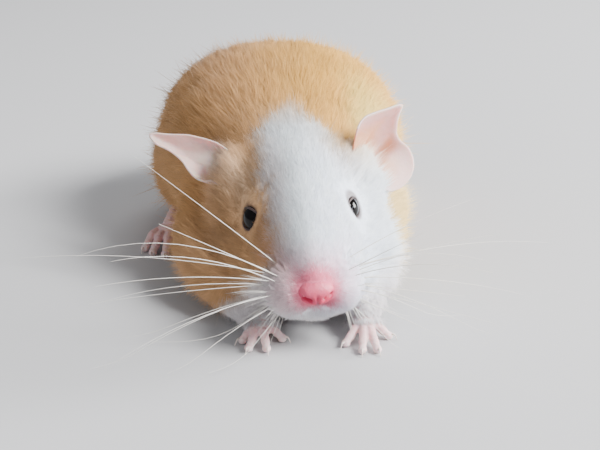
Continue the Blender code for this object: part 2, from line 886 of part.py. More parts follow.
def stand_on_origin(pieces):
    """Moves the pieces so that the origin is on the floor under their middle."""
    corners = [vertex.co for piece in pieces for vertex in piece.data.vertices]
    low = [min(corner[axis] for corner in corners) for axis in range(3)]
    high = [max(corner[axis] for corner in corners) for axis in range(3)]
    shift = Vector(((low[0] + high[0]) / 2, (low[1] + high[1]) / 2, low[2]))
    for piece in pieces:
        piece.data.transform(Matrix.Translation(-shift))


def main():
    clear_scene()
    pieces = []
    for piece, finish in all_pieces():
        piece.data.materials.clear()
        piece.data.materials.append(finish)
        piece.data.shade_smooth()
        pieces.append(piece)
    stand_on_origin(pieces)


main()
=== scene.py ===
"""Dresses the young fancy rat of the frame: skin, coat, eyes, nose, ears, feet, whiskers.

Shapes are made in the millimetres of the model's own space, in which the point midway
between the eyes is at X = Y = 0, the floor is at Z = 0 and the animal faces -Y. The last
step of each piece moves it into the frame.
"""

import math
import random

import bmesh
import bpy
import numpy as np
from bpy.props import FloatProperty, FloatVectorProperty, IntProperty, PointerProperty
from bpy.types import Operator, Panel, PropertyGroup
from mathutils import Matrix, Vector


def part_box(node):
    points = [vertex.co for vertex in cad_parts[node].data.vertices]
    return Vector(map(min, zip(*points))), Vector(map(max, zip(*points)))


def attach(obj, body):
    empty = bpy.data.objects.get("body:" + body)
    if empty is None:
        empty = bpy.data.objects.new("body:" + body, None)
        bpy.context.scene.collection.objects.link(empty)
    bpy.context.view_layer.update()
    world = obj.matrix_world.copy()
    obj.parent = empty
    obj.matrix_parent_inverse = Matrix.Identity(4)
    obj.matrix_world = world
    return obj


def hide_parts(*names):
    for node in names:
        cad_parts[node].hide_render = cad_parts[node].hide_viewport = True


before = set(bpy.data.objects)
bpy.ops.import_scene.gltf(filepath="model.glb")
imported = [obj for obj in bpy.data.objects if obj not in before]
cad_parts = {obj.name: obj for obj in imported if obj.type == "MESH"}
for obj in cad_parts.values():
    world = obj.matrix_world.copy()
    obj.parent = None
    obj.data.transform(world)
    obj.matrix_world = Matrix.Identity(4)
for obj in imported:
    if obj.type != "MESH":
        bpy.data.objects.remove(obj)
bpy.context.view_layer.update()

bl_info = {
    "name": "Young Fancy Rat",
    "version": (1, 0, 0),
    "blender": (4, 5, 0),
    "location": "3D View > Sidebar > Rat",
    "description": "Builds the skin, coat and features of a young fancy rat",
    "category": "Object",
}

MM = 0.001
BODY = "root"
SIDES = {"left": 1, "right": -1}
FLESH = (
    "head",
    "jaw",
    "neck",
    "chest",
    "loin",
    "rump",
    "foreleg_left",
    "foreleg_right",
    "hindleg_left",
    "hindleg_right",
)

# Turn and roll of the head in degrees, and where along the body the roll dies out
HEAD_TURN = 0.6
HEAD_ROLL = 4.4
ROLL_AXIS_HEIGHT = 17.0
ROLL_FULL_AHEAD_OF = 8.0
ROLL_ENDS_AT = 20.0

EYE = (6.85, -0.2, 18.2)
EYE_RADIUS = 2.85
EYE_YAW = 58
EYE_PITCH = 14
# How far the hair stays off each eyeball, or stands over its edge where this is below 0
EYE_CLEAR = {"left": -0.10, "right": 0.08}
# How far each eye stands out past its place in the solids, or back of it where this is below 0
EYE_BULGE = {"left": -0.22, "right": 0.28}
# Half width and half height of the opening between the lids
EYE_OPENING = {"left": (2.1, 1.6), "right": (2.6, 1.78)}
WIDEST_OPENING = EYE_RADIUS - 0.05
# Radii of the fleshy part of a lid and of its dark edge, and how far both stand off the ball
LID_FLESH = 0.5
LID_EDGE = 0.2
LID_FLESH_OUT = 0.1
LID_EDGE_OUT = 0.06
LID_STEPS = 40

NOSE = (0.0, -18.5, 12.3)
NOSE_HALF = (2.8, 2.0, 2.2)
NOSTRIL = (1.5, -20.1, 11.7)
# Each half of the muzzle: centre, half sizes and turn in degrees
MUZZLE = ((3.9, -14.2, 11.0), (4.3, 5.6, 4.6), -12)
# The mouth's front as (distance behind the eyes, height), its slope in degrees, and the place
# and half width of its corners
MOUTH_FRONT = (-18.6, 8.9)
MOUTH_SLOPE = 7
MOUTH_BACK = -6.5
MOUTH_HALF = 5.6

# The rim of each ear as (outward, upward) from its root
EAR_RIM = {
    "left": (
        (-3.4, 6.4), (-2.2, 7.3), (-0.6, 8.0), (1.5, 8.3), (4.2, 8.6), (7.4, 9.0),
        (6.3, 7.3), (5.5, 5.6), (5.1, 3.9), (5.7, 2.3), (7.0, 1.0), (7.7, -0.7),
        (7.6, -2.6), (6.4, -4.4), (4.2, -5.7), (1.8, -6.0), (0.0, -5.5),
    ),
    "right": (
        (-2.0, 4.7), (0.1, 5.1), (2.1, 5.3), (4.7, 5.4), (8.0, 5.0), (11.4, 4.6),
        (9.9, 3.3), (7.7, 2.8), (5.7, 2.1), (3.9, 1.1), (2.5, -0.2), (1.0, -1.2),
        (-0.9, -1.8), (-2.6, -1.7),
    ),
}
EAR_ROOT = {"left": (15.2, 9.0, 23.2), "right": (16.2, 10.6, 24.2)}
EAR_ROOT_HALF = 3.2
EAR_SUNK = 5.6
EAR_CUP = 2.4
EAR_CUP_REACH = 0.8
EAR_CURL = 1.2
# Splay and lean of each ear in degrees
EAR_POSE = {"left": (35, 15), "right": (25, 40)}
# How strongly the inside of each ear is painted toward its root, with shade on the left and light
# on the right, and from where out to where in
EAR_ROOT_SHADING = {"left": (1.0, 0.86, 0.40), "right": (0.85, 0.62, 0.36)}
# Where round the rim a fold runs down to the root, and its depth
EAR_FOLD = {"left": (0.52, 1.3), "right": (0.80, 0.7)}
# Spots by the ears, as (outward, upward, forward) from an ear's root
RIGHT_EAR_HOLLOW = (-1.9, 0.8, 1.6)
RIGHT_EAR_TUFT = (-2.8, 3.5, 1.2)
RIGHT_EAR_FRINGE = (-1.4, 1.3, 1.4)
LEFT_EAR_FRINGE = (-3.0, 2.0, 1.5)
LEFT_EAR_CORNER = (-6.0, 4.5, -1.0)

# How high whiskers stay above the floor, and how high up they start to bend away from it
WHISKER_CLEARS = 0.6
WHISKER_BENDS_AT = 3.5
# Rows from the top down: (rise, length, sag)
WHISKER_ROWS = ((47, 35, 0.10), (29, 45, 0.30), (7, 39, 0.16), (-6, 32, 0.14), (-24, 23, 0.10))
WHISKER_DROP = {"left": 13, "right": 0}
WHISKER_REACH = {"left": 0.87, "right": 1.13}
WHISKER_BED = (4.6, -15.6, 13.6)
WHISKER_ROW_DROP = 1.15
WHISKER_BED_DEPTH = 3.2
WHISKER_BED_TAPER = 0.5
WHISKER_FORWARD = 24
WHISKER_FAN = 30
SHORTEST_WHISKER = 0.72
WHISKER_SWEEP = 0.10

WRIST = {"left": (9.2, -9.0, 3.2), "right": (-7.7, -8.2, 3.2)}
ELBOW = {"left": (13.7, 13.5, 7.6), "right": (-15.6, 13.0, 7.4)}
FINGER_TIPS = {
    "left": ((5.6, -13.6), (7.9, -16.2), (10.3, -16.2), (12.9, -11.6)),
    "right": ((-4.4, -10.8), (-7.2, -14.1), (-10.0, -13.7), (-10.9, -10.8)),
}
HEEL = {"left": (16.6, 60.0), "right": (19.5, 58.0)}
BALL = {"left": (17.2, 39.0), "right": (22.6, 36.0)}
TOE_LENGTHS = (6.2, 8.2, 9.0, 8.4, 6.4)
TOE_SPREAD = 36
TOE_ROOTS_WIDTH = 5.0
SOLE_HEIGHT = 1.9
# How high bare skin that lies on the floor is kept above it
SKIN_CLEARS = 0.02

TAIL_PATH = (
    (0.0, 77.0, 8.4),
    (-1.2, 85.0, 5.6),
    (-1.8, 94.0, 2.6),
    (1.0, 104.0, 2.0),
    (8.0, 115.0, 1.8),
    (19.0, 120.0, 1.6),
    (29.0, 116.0, 1.3),
    (34.0, 106.0, 1.1),
    (33.6, 96.0, 0.8),
)
TAIL_ROOT_RADIUS = 3.1
TAIL_TIP_RADIUS = 0.7

# Hair lengths from nose to rump: distances behind the eyes, and how far each length has come
# from the face's to the back's
HAIR_STATIONS = (-21, -17, -12, -6, 2, 10, 20, 34, 60, 82)
HAIR_SHARES = (0.0, 0.02, 0.06, 0.13, 0.24, 0.40, 0.66, 0.88, 1.0, 0.85)
# What is added to the hair's length in places, and what share is taken off in others
LONGER = {"ear root": 0.5, "ear tuft": 1.7, "pads": 0.9, "cheeks": 1.3, "wrist": 1.0}
SHORTER = {"ear hollow": 0.6, "paw": 0.55, "nose": 0.6, "eye": 0.86}
CHEEK = (14.6, 3.0, 8.4)
CHEEK_REACH = 4.5
PAD_SIDE = (6.0, -13.0, 11.8)
PAD_REACH = 3.6

# Where the white ends: behind the eyes on the nape, with a tongue along the middle and a dent
# beside it, each as (length, middle, half width)
NAPE_END = 9.6
NAPE_TONGUE = (8.8, 0.1, 5.6)
NAPE_DENT = (3.2, 5.5, 3.2)
# Where it ends on the right of the face and above the jaw, by the distance behind the eyes
FACE_EDGE = ((-20, -10, 0, 6, 12, 24), (4.4, 4.6, 5.6, 5.7, 6.1, 7.0))
JAW_EDGE = ((-18, -12, -8, -4, 0, 8), (15.5, 12.5, 8.8, 3.8, 0.0, -3.0))
MARKING_SOFTNESS = (-1.9, 2.1)
WHITE_WRIST_REACH = 3.6

# A dark colour laid round the eyes, and the skin that shows through short hair between the right
# eye and the nose
EYE_SURROUND = (0.13, 0.08, 0.06)
MAUVE = (0.86, 0.50, 0.50)
# Warmer white painted on white hair on the side away from the light, on the right of the face and
# low down: painted warm fill light in the shade
PAINTED_LEE_WHITE = (0.96, 0.86, 0.87)
# The pale hair by the ears and over the right eye, and the thin pale pink down before the right
# ear, made lighter still as painted light in that hollow's shade
PALE_CREAM = (0.95, 0.80, 0.62)
EAR_DOWN_AND_LIGHT = (1.0, 0.80, 0.72)
# Golden yellow on the lit left flank: partly the yellow hair there, partly painted warm light
GOLD_AND_LIGHT = (0.90, 0.69, 0.29)
# How strongly each of these colours is mixed in, at most
SHARES = {
    "cream belly": 0.5,
    "cream cheek": 0.12,
    "gold and light": 0.75,
    "right fringe": 0.8,
    "brow": 0.3,
    "left fringe": 0.45,
    "ear down and light": 0.8,
    "painted_lee": 0.85,
    "mauve": 0.5,
    "eye surround": 0.75,
    "pad rows": 0.34,
}
# Painted shade: darker fawn round the right eye and on the cheek behind it, on the side away from
# the light; paler hair on the brow over that eye; and painted light, brighter hair on the forehead
EYE_PAINTED_SHADE = 0.38
CHEEK_PAINTED_SHADE = 0.16
CHEEK_PAINTED_SHADE_AT = (-11.3, 2.5, 16.5)
BROW = (-9.0, 5.0, 23.0)
FOREHEAD_LIGHT = (-4.5, 5.0, 23.0)
# Mauve runs from beside the right eye to the nose, and pink from the nose toward both eyes
MAUVE_LINE = ((-4.9, -3.2, 19.0), (-3.4, -12.5, 14.8))
BLUSH_LINE = ((2.7, -16.0, 14.4), (3.9, -11.8, 15.6))
BLUSH_SPOT = (5.0, -9.0, 14.5)
MOST_BLUSH = 0.97

# The photo's camera: degrees round and above the animal, distance, aim and lens
VIEW_TURN = -6
VIEW_RISE = 20
VIEW_DISTANCE = 180.0
VIEW_POINT = (0.0, 0.0, 18.6)
VIEW_POINT_PIXEL = (302.5, 211.0)
PICTURE = (600, 450)
LENS = 65.0
SENSOR = 36.0


def roll_at(y):
    """How far the body is rolled at this distance behind the eyes, in radians."""
    part = (ROLL_ENDS_AT - y) / (ROLL_ENDS_AT - ROLL_FULL_AHEAD_OF)
    part = min(max(part, 0.0), 1.0)
    return -math.radians(HEAD_ROLL) * part * part * (3 - 2 * part)


def rolled(point):
    """The point, tilted and turned with the head."""
    x, y, z = point
    x += math.tan(math.radians(HEAD_TURN)) * min(y, 0)
    angle = roll_at(y)
    z -= ROLL_AXIS_HEIGHT
    across = x * math.cos(angle) + z * math.sin(angle)
    up = ROLL_AXIS_HEIGHT - x * math.sin(angle) + z * math.cos(angle)
    return Vector((across, y, up))


def frame_shift():
    """From the model's own space to the frame, found from the left eye."""
    low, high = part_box("eye_left")
    middle = (Vector(low) + Vector(high)) / 2 / MM
    return middle - rolled(EYE)


SHIFT = frame_shift()
TO_FRAME = Matrix.Scale(MM, 4) @ Matrix.Translation(SHIFT)
FROM_FRAME = TO_FRAME.inverted()


def smooth_path(points, count):
    """Evenly numbered points on a curve through the given ones."""
    points = [Vector(point) for point in points]
    path = []
    for step in range(count + 1):
        place = step / count * (len(points) - 1)
        before = min(int(place), len(points) - 2)
        t = place - before
        b, c = points[before], points[before + 1]
        a = points[before - 1] if before else b * 2 - c
        d = points[before + 2] if before + 2 < len(points) else c * 2 - b
        path.append(
            (
                b * 2
                + (c - a) * t
                + (a * 2 - b * 5 + c * 4 - d) * t * t
                + (b * 3 - a - c * 3 + d) * t**3
            )
            / 2
        )
    return path


def new_object(name, mesh):
    obj = bpy.data.objects.new(name, mesh)
    bpy.context.scene.collection.objects.link(obj)
    return obj


def drop(obj):
    mesh = obj.data
    bpy.data.objects.remove(obj)
    if mesh.users == 0 and isinstance(mesh, bpy.types.Mesh):
        bpy.data.meshes.remove(mesh)


def evaluated_mesh(obj):
    """The object's mesh with its modifiers applied."""
    graph = bpy.context.evaluated_depsgraph_get()
    return bpy.data.meshes.new_from_object(obj.evaluated_get(graph), depsgraph=graph)


def tube_into(bm, points, radii, resolution=3, closed=False):
    """Adds a round bar along the points, capped unless it is closed on itself."""
    curve = bpy.data.curves.new("bar", "CURVE")
    curve.dimensions = "3D"
    curve.bevel_depth = 1.0
    curve.bevel_resolution = resolution
    curve.use_fill_caps = not closed
    spline = curve.splines.new("POLY")
    spline.points.add(len(points) - 1)
    for place, point in enumerate(points):
        spline.points[place].co = (*point, 1)
        spline.points[place].radius = radii[place]
    spline.use_cyclic_u = closed
    obj = new_object("bar", curve)
    mesh = evaluated_mesh(obj)
    bm.from_mesh(mesh)
    bpy.data.meshes.remove(mesh)
    bpy.data.objects.remove(obj)
    bpy.data.curves.remove(curve)


def ball_into(bm, centre, half_sizes, turn=0.0, segments=24):
    """Adds an ellipsoid, turned about the upright, and returns its vertices."""
    place = (
        Matrix.Translation(Vector(centre))
        @ Matrix.Rotation(math.radians(turn), 4, "Z")
        @ Matrix.Diagonal((*half_sizes, 1))
    )
    made = bmesh.ops.create_uvsphere(
        bm, u_segments=segments, v_segments=segments // 2, radius=1, matrix=place
    )
    return made["verts"]


def mesh_of(name, bm):
    mesh = bpy.data.meshes.new(name)
    bm.to_mesh(mesh)
    bm.free()
    return mesh


def fused(name, mesh, voxel, rounds):
    """One closed skin over the overlapping forms of a mesh, smoothed."""
    obj = new_object(name, mesh)
    remesh = obj.modifiers.new("Fuse", "REMESH")
    remesh.mode = "VOXEL"
    remesh.voxel_size = voxel
    smooth = obj.modifiers.new("Smooth", "SMOOTH")
    smooth.factor = 0.5
    smooth.iterations = rounds
    result = evaluated_mesh(obj)
    drop(obj)
    return result


def points_of(mesh):
    found = np.empty(len(mesh.vertices) * 3)
    mesh.vertices.foreach_get("co", found)
    return found.reshape(-1, 3)


def normals_of(mesh):
    found = np.empty(len(mesh.vertices) * 3, dtype=np.float32)
    mesh.vertices.foreach_get("normal", found)
    return found.reshape(-1, 3).astype(float)


def move_points(mesh, points):
    mesh.vertices.foreach_set("co", points.ravel())
    mesh.update()


def paint(mesh, name, colours):
    """Stores a colour for each vertex."""
    layer = mesh.color_attributes.new(name, "FLOAT_COLOR", "POINT")
    full = np.ones((len(mesh.vertices), 4), dtype=np.float32)
    full[:, :3] = colours
    layer.data.foreach_set("color", full.ravel())


def finish(name, mesh, finish_material, slot, *nodes):
    """Moves a mesh into the frame as a piece that rides on the body."""
    mesh.transform(TO_FRAME)
    mesh.materials.clear()
    mesh.materials.append(finish_material)
    mesh.shade_smooth()
    mesh.name = name
    piece = new_object(name, mesh)
    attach(piece, BODY)
    if nodes:
        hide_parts(*nodes)
    return piece


def ripple(points, size, seed):
    """A smooth wave field between about -1 and 1, with swells of the given size."""
    draw = np.random.default_rng(seed)
    total = np.zeros(len(points))
    waves = 5
    for _ in range(waves):
        heading = draw.normal(size=3)
        heading *= 2 * math.pi / (size * np.linalg.norm(heading) * draw.uniform(0.7, 1.6))
        total += np.sin(points @ heading + draw.uniform(0, 2 * math.pi))
    return total / math.sqrt(waves)


def smoothstep(low, high, values):
    part = np.clip((values - low) / (high - low), 0, 1)
    return part * part * (3 - 2 * part)


def near(points, centre, reach):
    """1 at the centre, falling softly to 0 at about twice the reach."""
    away = np.linalg.norm(points - np.array(centre), axis=1)
    return np.exp(-((away / reach) ** 2))


def near_line(points, start, end, reach):
    """1 on the line from start to end, falling softly to 0."""
    start, end = np.array(start, dtype=float), np.array(end, dtype=float)
    along = end - start
    part = np.clip((points - start) @ along / (along @ along), 0, 1)
    away = np.linalg.norm(points - start - part[:, None] * along, axis=1)
    return np.exp(-((away / reach) ** 2))


def eye_centres():
    return [rolled((side * EYE[0], EYE[1], EYE[2])) for side in SIDES.values()]


def ear_point(side_name, out, up, forward):
    """A point of an ear's own leaf, given outward, upward and forward of its root."""
    splay, lean = EAR_POSE[side_name]
    point = Vector((out, -forward, up))
    point.rotate(Matrix.Rotation(math.radians(-lean), 3, "X").to_quaternion())
    point.rotate(Matrix.Rotation(math.radians(splay), 3, "Z").to_quaternion())
    x, y, z = Vector(EAR_ROOT[side_name]) + point
    return rolled((SIDES[side_name] * x, y, z))


def hump(values, height, middle, half_width):
    """A smooth hump: the height at the middle, falling to 0 on both sides."""
    return height * np.exp(-(((values - middle) / half_width) ** 2))


def blend(colours, other, share):
    """The colours, with the other one mixed in by a share for each point."""
    share = share[:, None]
    return colours * (1 - share) + np.array(other) * share


def near_pair(points, spot, reach):
    """1 at a spot of the head and at its mirror image, falling softly to 0."""
    x, y, z = spot
    return np.maximum(*[near(points, rolled((side * x, y, z)), reach) for side in SIDES.values()])


def near_ear_root(points):
    """1 where an ear leaves the head, falling softly to 0."""
    found = np.zeros(len(points))
    for side_name in SIDES:
        low, high = (ear_point(side_name, -2.6, up, 0.4) for up in (-EAR_ROOT_HALF, EAR_ROOT_HALF))
        found = np.maximum(found, near_line(points, low, high, 2.6))
    return found


def near_ear_hollow(points):
    """1 on the hollow before the right ear, falling softly to 0."""
    return near(points, ear_point("right", *RIGHT_EAR_HOLLOW), 3.2)


def near_ear_tuft(points, reach):
    """1 where long hair stands up before the right ear, falling softly to 0."""
    return near(points, ear_point("right", *RIGHT_EAR_TUFT), reach)


def near_cheeks(points):
    """1 on the widest part of each cheek, falling softly to 0."""
    return near_pair(points, CHEEK, CHEEK_REACH)


def near_pads(points):
    """1 on the outer side of each whisker pad, falling softly to 0."""
    return near_pair(points, PAD_SIDE, PAD_REACH)


def from_eyes(points):
    """The distance of each point from the middle of the nearer eye."""
    away = [np.linalg.norm(points - np.array(centre), axis=1) for centre in eye_centres()]
    return np.minimum(*away)


def forearm(side_name):
    return ELBOW[side_name], WRIST[side_name]


def hair_length(points):
    """The coat's hair length in millimetres at each point."""
    coat = bpy.context.scene.rat_coat
    back, face = coat.back_length / MM, coat.face_length / MM
    length = face + (back - face) * np.interp(points[:, 1], HAIR_STATIONS, HAIR_SHARES)
    length += LONGER["ear root"] * near_ear_root(points)
    length += LONGER["ear tuft"] * near_ear_tuft(points, 1.9)
    length *= 1 - SHORTER["ear hollow"] * near_ear_hollow(points)
    length += LONGER["pads"] * near_pads(points) + LONGER["cheeks"] * near_cheeks(points)
    for side_name in SIDES:
        leg = near_line(points, *forearm(side_name), 6.5)
        length = length * (1 - leg) + np.minimum(length, coat.leg_length / MM) * leg
        x, y, z = WRIST[side_name]
        length += LONGER["wrist"] * near(points, (x, y, z), 3.0)
        length *= 1 - SHORTER["paw"] * near(points, (x, y - 2.4, z - 1.2), 2.2)
    length *= 1 - SHORTER["nose"] * near(points, rolled(NOSE), 3.6)
    by_eye = 1 - smoothstep(2.6, 7.0, from_eyes(points))
    return length * (1 - SHORTER["eye"] * by_eye)


def pad_rows(points):
    """1 along the rows of whisker roots, falling softly to 0 between them."""
    found = np.zeros(len(points))
    x, y, z = WHISKER_BED
    for side in SIDES.values():
        for row in range(len(WHISKER_ROWS)):
            height = z - WHISKER_ROW_DROP * row
            front = rolled((side * x, y - 0.6, height))
            back = rolled((side * (x + 1.2), y + WHISKER_BED_DEPTH + 1.2, height - 0.5))
            found = np.maximum(found, near_line(points, front, back, 0.34) ** 0.7)
    return found


def white_share(points):
    """1 on the white markings, 0 on the fawn parts."""
    x, y, z = points.T
    crown = smoothstep(20, 27, z)
    nape = NAPE_END + hump(x, *NAPE_TONGUE) * crown
    nape -= hump(x, *NAPE_DENT) * crown
    nape -= 3.0 * smoothstep(12, 4, z) + 1.6 * smoothstep(21, 15, z) * smoothstep(2, 8, x)
    behind = y - nape
    beside = -x - np.interp(y, *FACE_EDGE)
    above_jaw = z - np.interp(y, *JAW_EDGE)
    fawn = np.maximum(behind, np.minimum(beside, above_jaw))
    fawn += (0.3 + 0.6 * smoothstep(8, 16, y)) * ripple(points, 5.0, 3)
    fawn += 0.4 * ripple(points, 1.6, 4)
    white = (1 - smoothstep(*MARKING_SOFTNESS, fawn)) * (1 - 0.42 * smoothstep(8, 18, y))
    white *= 1 - 0.9 * near(points, ear_point("left", *LEFT_EAR_CORNER), 4.0)
    for side_name in SIDES:
        white = np.maximum(white, near(points, WRIST[side_name], WHITE_WRIST_REACH))
    return white


def fawn_colours(points):
    """The fawn at each point: creamy below; golden on the lit flank, partly yellow hair and partly
    painted light; bluer in the shade and darker round the right eye, both painted shade.
    """
    coat = bpy.context.scene.rat_coat
    x, y, z = points.T
    belly = SHARES["cream belly"] * smoothstep(4, 0.5, z)
    cheek = SHARES["cream cheek"] * smoothstep(17, 5, y)
    colours = blend(np.array(coat.fawn), coat.cream, belly + cheek - belly * cheek)
    # Golden fawn on the lit left flank, partly yellow hair and partly painted warm light
    colours = blend(colours, GOLD_AND_LIGHT, SHARES["gold and light"] * smoothstep(8, 13, x) * smoothstep(40, 20, y))
    tone = 1 + 0.04 * ripple(points, 9.0, 7) + 0.035 * ripple(points, 2.6, 8)
    colours *= tone[:, None]
    lit = smoothstep(-13, 7, x)
    # Painted light and shade: the fawn is yellower high on the lit left and bluer on the shaded
    # right
    colours[:, 2] *= 1 + 0.22 * (1 - lit) - 0.42 * lit * smoothstep(18, 34, z)
    # Painted shade darkens the fawn round the right eye and on the cheek behind it
    painted_shade = EYE_PAINTED_SHADE * near(points, eye_centres()[1], 5.4)
    painted_shade = np.maximum(painted_shade, CHEEK_PAINTED_SHADE * near(points, rolled(CHEEK_PAINTED_SHADE_AT), 5.5))
    colours *= 1 - painted_shade[:, None]
    fringe = SHARES["right fringe"] * near(points, ear_point("right", *RIGHT_EAR_FRINGE), 3.3)
    fringe = np.maximum(fringe, SHARES["brow"] * near(points, rolled(BROW), 4.0))
    return blend(colours, PALE_CREAM, fringe)


def blush_share(points):
    """How much pink skin shows round the nose and along the lines toward the eyes."""
    away = np.linalg.norm(points - np.array(rolled(NOSE)), axis=1)
    blush = 0.66 * smoothstep(4.8, 2.2, away) + 0.42 * smoothstep(9.5, 2.6, away)
    for side in SIDES.values():
        low, high = (rolled((side * x, y, z)) for x, y, z in BLUSH_LINE)
        blush += 0.30 * near_line(points, low, high, 1.2)
        x, y, z = BLUSH_SPOT
        blush += 0.12 * near(points, rolled((side * x, y, z)), 3.2)
    return np.clip(blush * smoothstep(7.5, 10.5, points[:, 2]), 0, MOST_BLUSH)


def coat_colours(points):
    """The markings of skin and coat, with painted light and shade, as a colour for each point."""
    coat = bpy.context.scene.rat_coat
    x, y, z = points.T
    share = white_share(points)
    # Painted shade: the white is a little darker toward the nape
    nape = 0.10 * smoothstep(6, 14, y)[:, None]
    colours = blend(fawn_colours(points), np.array(coat.white) * (1 - nape), share)
    fringe = near(points, ear_point("left", *LEFT_EAR_FRINGE), 4.0)
    colours = blend(colours, PALE_CREAM, SHARES["left fringe"] * fringe)
    # Pale pink down before the right ear, lightened further as painted light in the hollow's shade
    colours = blend(colours, EAR_DOWN_AND_LIGHT, SHARES["ear down and light"] * near_ear_hollow(points))
    # Painted light: the white is a little bluer on the lit left of the face, for the cool light
    # falling there
    colours[:, 2] *= 1 + 0.08 * smoothstep(-2, 3, x) * smoothstep(9, 0, y)
    # Painted light brightens the forehead
    colours *= 1 + 0.12 * near(points, rolled(FOREHEAD_LIGHT), 5.5)[:, None]
    # Painted light: white hair on the shaded right of the face and low down is warmed and
    # lightened
    painted_lee = smoothstep(-1.5, -5.0, x) * smoothstep(14, -1, y)
    painted_lee = SHARES["painted_lee"] * np.maximum(painted_lee, smoothstep(10, 5, z))
    colours = blend(colours, PAINTED_LEE_WHITE, painted_lee * share)
    line = near_line(points, *(rolled(spot) for spot in MAUVE_LINE), 1.6)
    colours = blend(colours, MAUVE, SHARES["mauve"] * line)
    colours = blend(colours, coat.pink, blush_share(points))
    rim = smoothstep(EYE_RADIUS + 0.8, EYE_RADIUS + 0.3, from_eyes(points))
    colours = blend(colours, EYE_SURROUND, SHARES["eye surround"] * rim)
    rows = SHARES["pad rows"] * pad_rows(points)
    return np.clip(blend(colours, np.array(MAUVE) * 0.8, rows), 0, 1)


def lie_of_coat(points):
    """The way the hair points, before it is laid on the skin."""
    from_nose = points - np.array(rolled((0, -24, 12)))
    from_nose /= np.linalg.norm(from_nose, axis=1)[:, None]
    back = np.tile(np.array((0.0, 1.0, 0.0)), (len(points), 1))
    back[:, 2] = -0.35 * smoothstep(34, 8, points[:, 2])
    back[:, 0] = 0.018 * points[:, 0]
    flow = blend(from_nose, back, smoothstep(2, 24, points[:, 1]))
    for side_name in SIDES:
        outward = ear_point(side_name, 1, 0.5, 0.3) - ear_point(side_name, 0, 0, 0)
        low, high = (ear_point(side_name, -3.4, up, 0.8) for up in (-3, 3))
        flow += 2.2 * np.array(outward) * near_line(points, low, high, 3.0)[:, None]
    for centre in eye_centres():
        outward = points - np.array(centre)
        away = np.linalg.norm(outward, axis=1)[:, None]
        outward /= away
        toward = np.minimum((flow * outward).sum(axis=1), 0)[:, None]
        flow -= outward * toward * 1.15 * smoothstep(7.5, 3.4, away)
    for side_name in SIDES:
        elbow, wrist = forearm(side_name)
        down = np.array(wrist) - np.array(elbow)
        down /= np.linalg.norm(down)
        leg = near_line(points, elbow, wrist, 5.5) * smoothstep(9.5, 6.5, points[:, 2])
        flow = blend(flow, down, leg * smoothstep(13, 7, points[:, 1]))
    return flow


def math_node(nodes, operation, value=0.5):
    """A Math node whose second input starts at the value."""
    node = nodes.new("ShaderNodeMath")
    node.operation = operation
    node.inputs[1].default_value = value
    return node


def skin_tone_group():
    """A shared effect: small mottling of a colour, and a height to go with it."""
    found = bpy.data.node_groups.get("Fine mottling")
    if found:
        return found
    group = bpy.data.node_groups.new("Fine mottling", "ShaderNodeTree")
    face = group.interface
    face.new_socket("Colour", in_out="INPUT", socket_type="NodeSocketColor")
    face.new_socket("Size", in_out="INPUT", socket_type="NodeSocketFloat")
    face.new_socket("Amount", in_out="INPUT", socket_type="NodeSocketFloat")
    face.new_socket("Colour", in_out="OUTPUT", socket_type="NodeSocketColor")
    face.new_socket("Height", in_out="OUTPUT", socket_type="NodeSocketFloat")
    nodes, links = group.nodes, group.links
    given = nodes.new("NodeGroupInput")
    out = nodes.new("NodeGroupOutput")
    place = nodes.new("ShaderNodeTexCoord")
    noise = nodes.new("ShaderNodeTexNoise")
    noise.inputs["Detail"].default_value = 3
    links.new(place.outputs["Object"], noise.inputs["Vector"])
    links.new(given.outputs["Size"], noise.inputs["Scale"])
    spread = math_node(nodes, "SUBTRACT", 0.5)
    links.new(noise.outputs["Fac"], spread.inputs[0])
    scaled = math_node(nodes, "MULTIPLY")
    links.new(spread.outputs[0], scaled.inputs[0])
    links.new(given.outputs["Amount"], scaled.inputs[1])
    lift = math_node(nodes, "ADD", 1.0)
    links.new(scaled.outputs[0], lift.inputs[0])
    tint = nodes.new("ShaderNodeVectorMath")
    tint.operation = "SCALE"
    links.new(given.outputs["Colour"], tint.inputs[0])
    links.new(lift.outputs[0], tint.inputs["Scale"])
    links.new(tint.outputs["Vector"], out.inputs["Colour"])
    links.new(noise.outputs["Fac"], out.inputs["Height"])
    return group


def finish_material(
    name, colour=None, attribute=None, size=900.0, amount=0.2, bump=0.0, roughness=0.6, **sockets
):
    """A Principled finish over a plain or painted colour with fine mottling."""
    found = bpy.data.materials.get(name)
    if found:
        return found
    material = bpy.data.materials.new(name)
    material.use_nodes = True
    nodes, links = material.node_tree.nodes, material.node_tree.links
    shader = nodes["Principled BSDF"]
    group = nodes.new("ShaderNodeGroup")
    group.node_tree = skin_tone_group()
    group.inputs["Size"].default_value = size
    group.inputs["Amount"].default_value = amount
    if attribute:
        source = nodes.new("ShaderNodeAttribute")
        source.attribute_name = attribute
        links.new(source.outputs["Color"], group.inputs["Colour"])
    else:
        group.inputs["Colour"].default_value = (*colour, 1)
    links.new(group.outputs["Colour"], shader.inputs["Base Color"])
    if bump:
        relief = nodes.new("ShaderNodeBump")
        relief.inputs["Distance"].default_value = bump
        links.new(group.outputs["Height"], relief.inputs["Height"])
        links.new(relief.outputs["Normal"], shader.inputs["Normal"])
    shader.inputs["Roughness"].default_value = roughness
    for socket, value in sockets.items():
        shader.inputs[socket.replace("_", " ")].default_value = value
    return material


# What every colour setting shares
COLOUR = {"subtype": "COLOR", "min": 0, "max": 1}


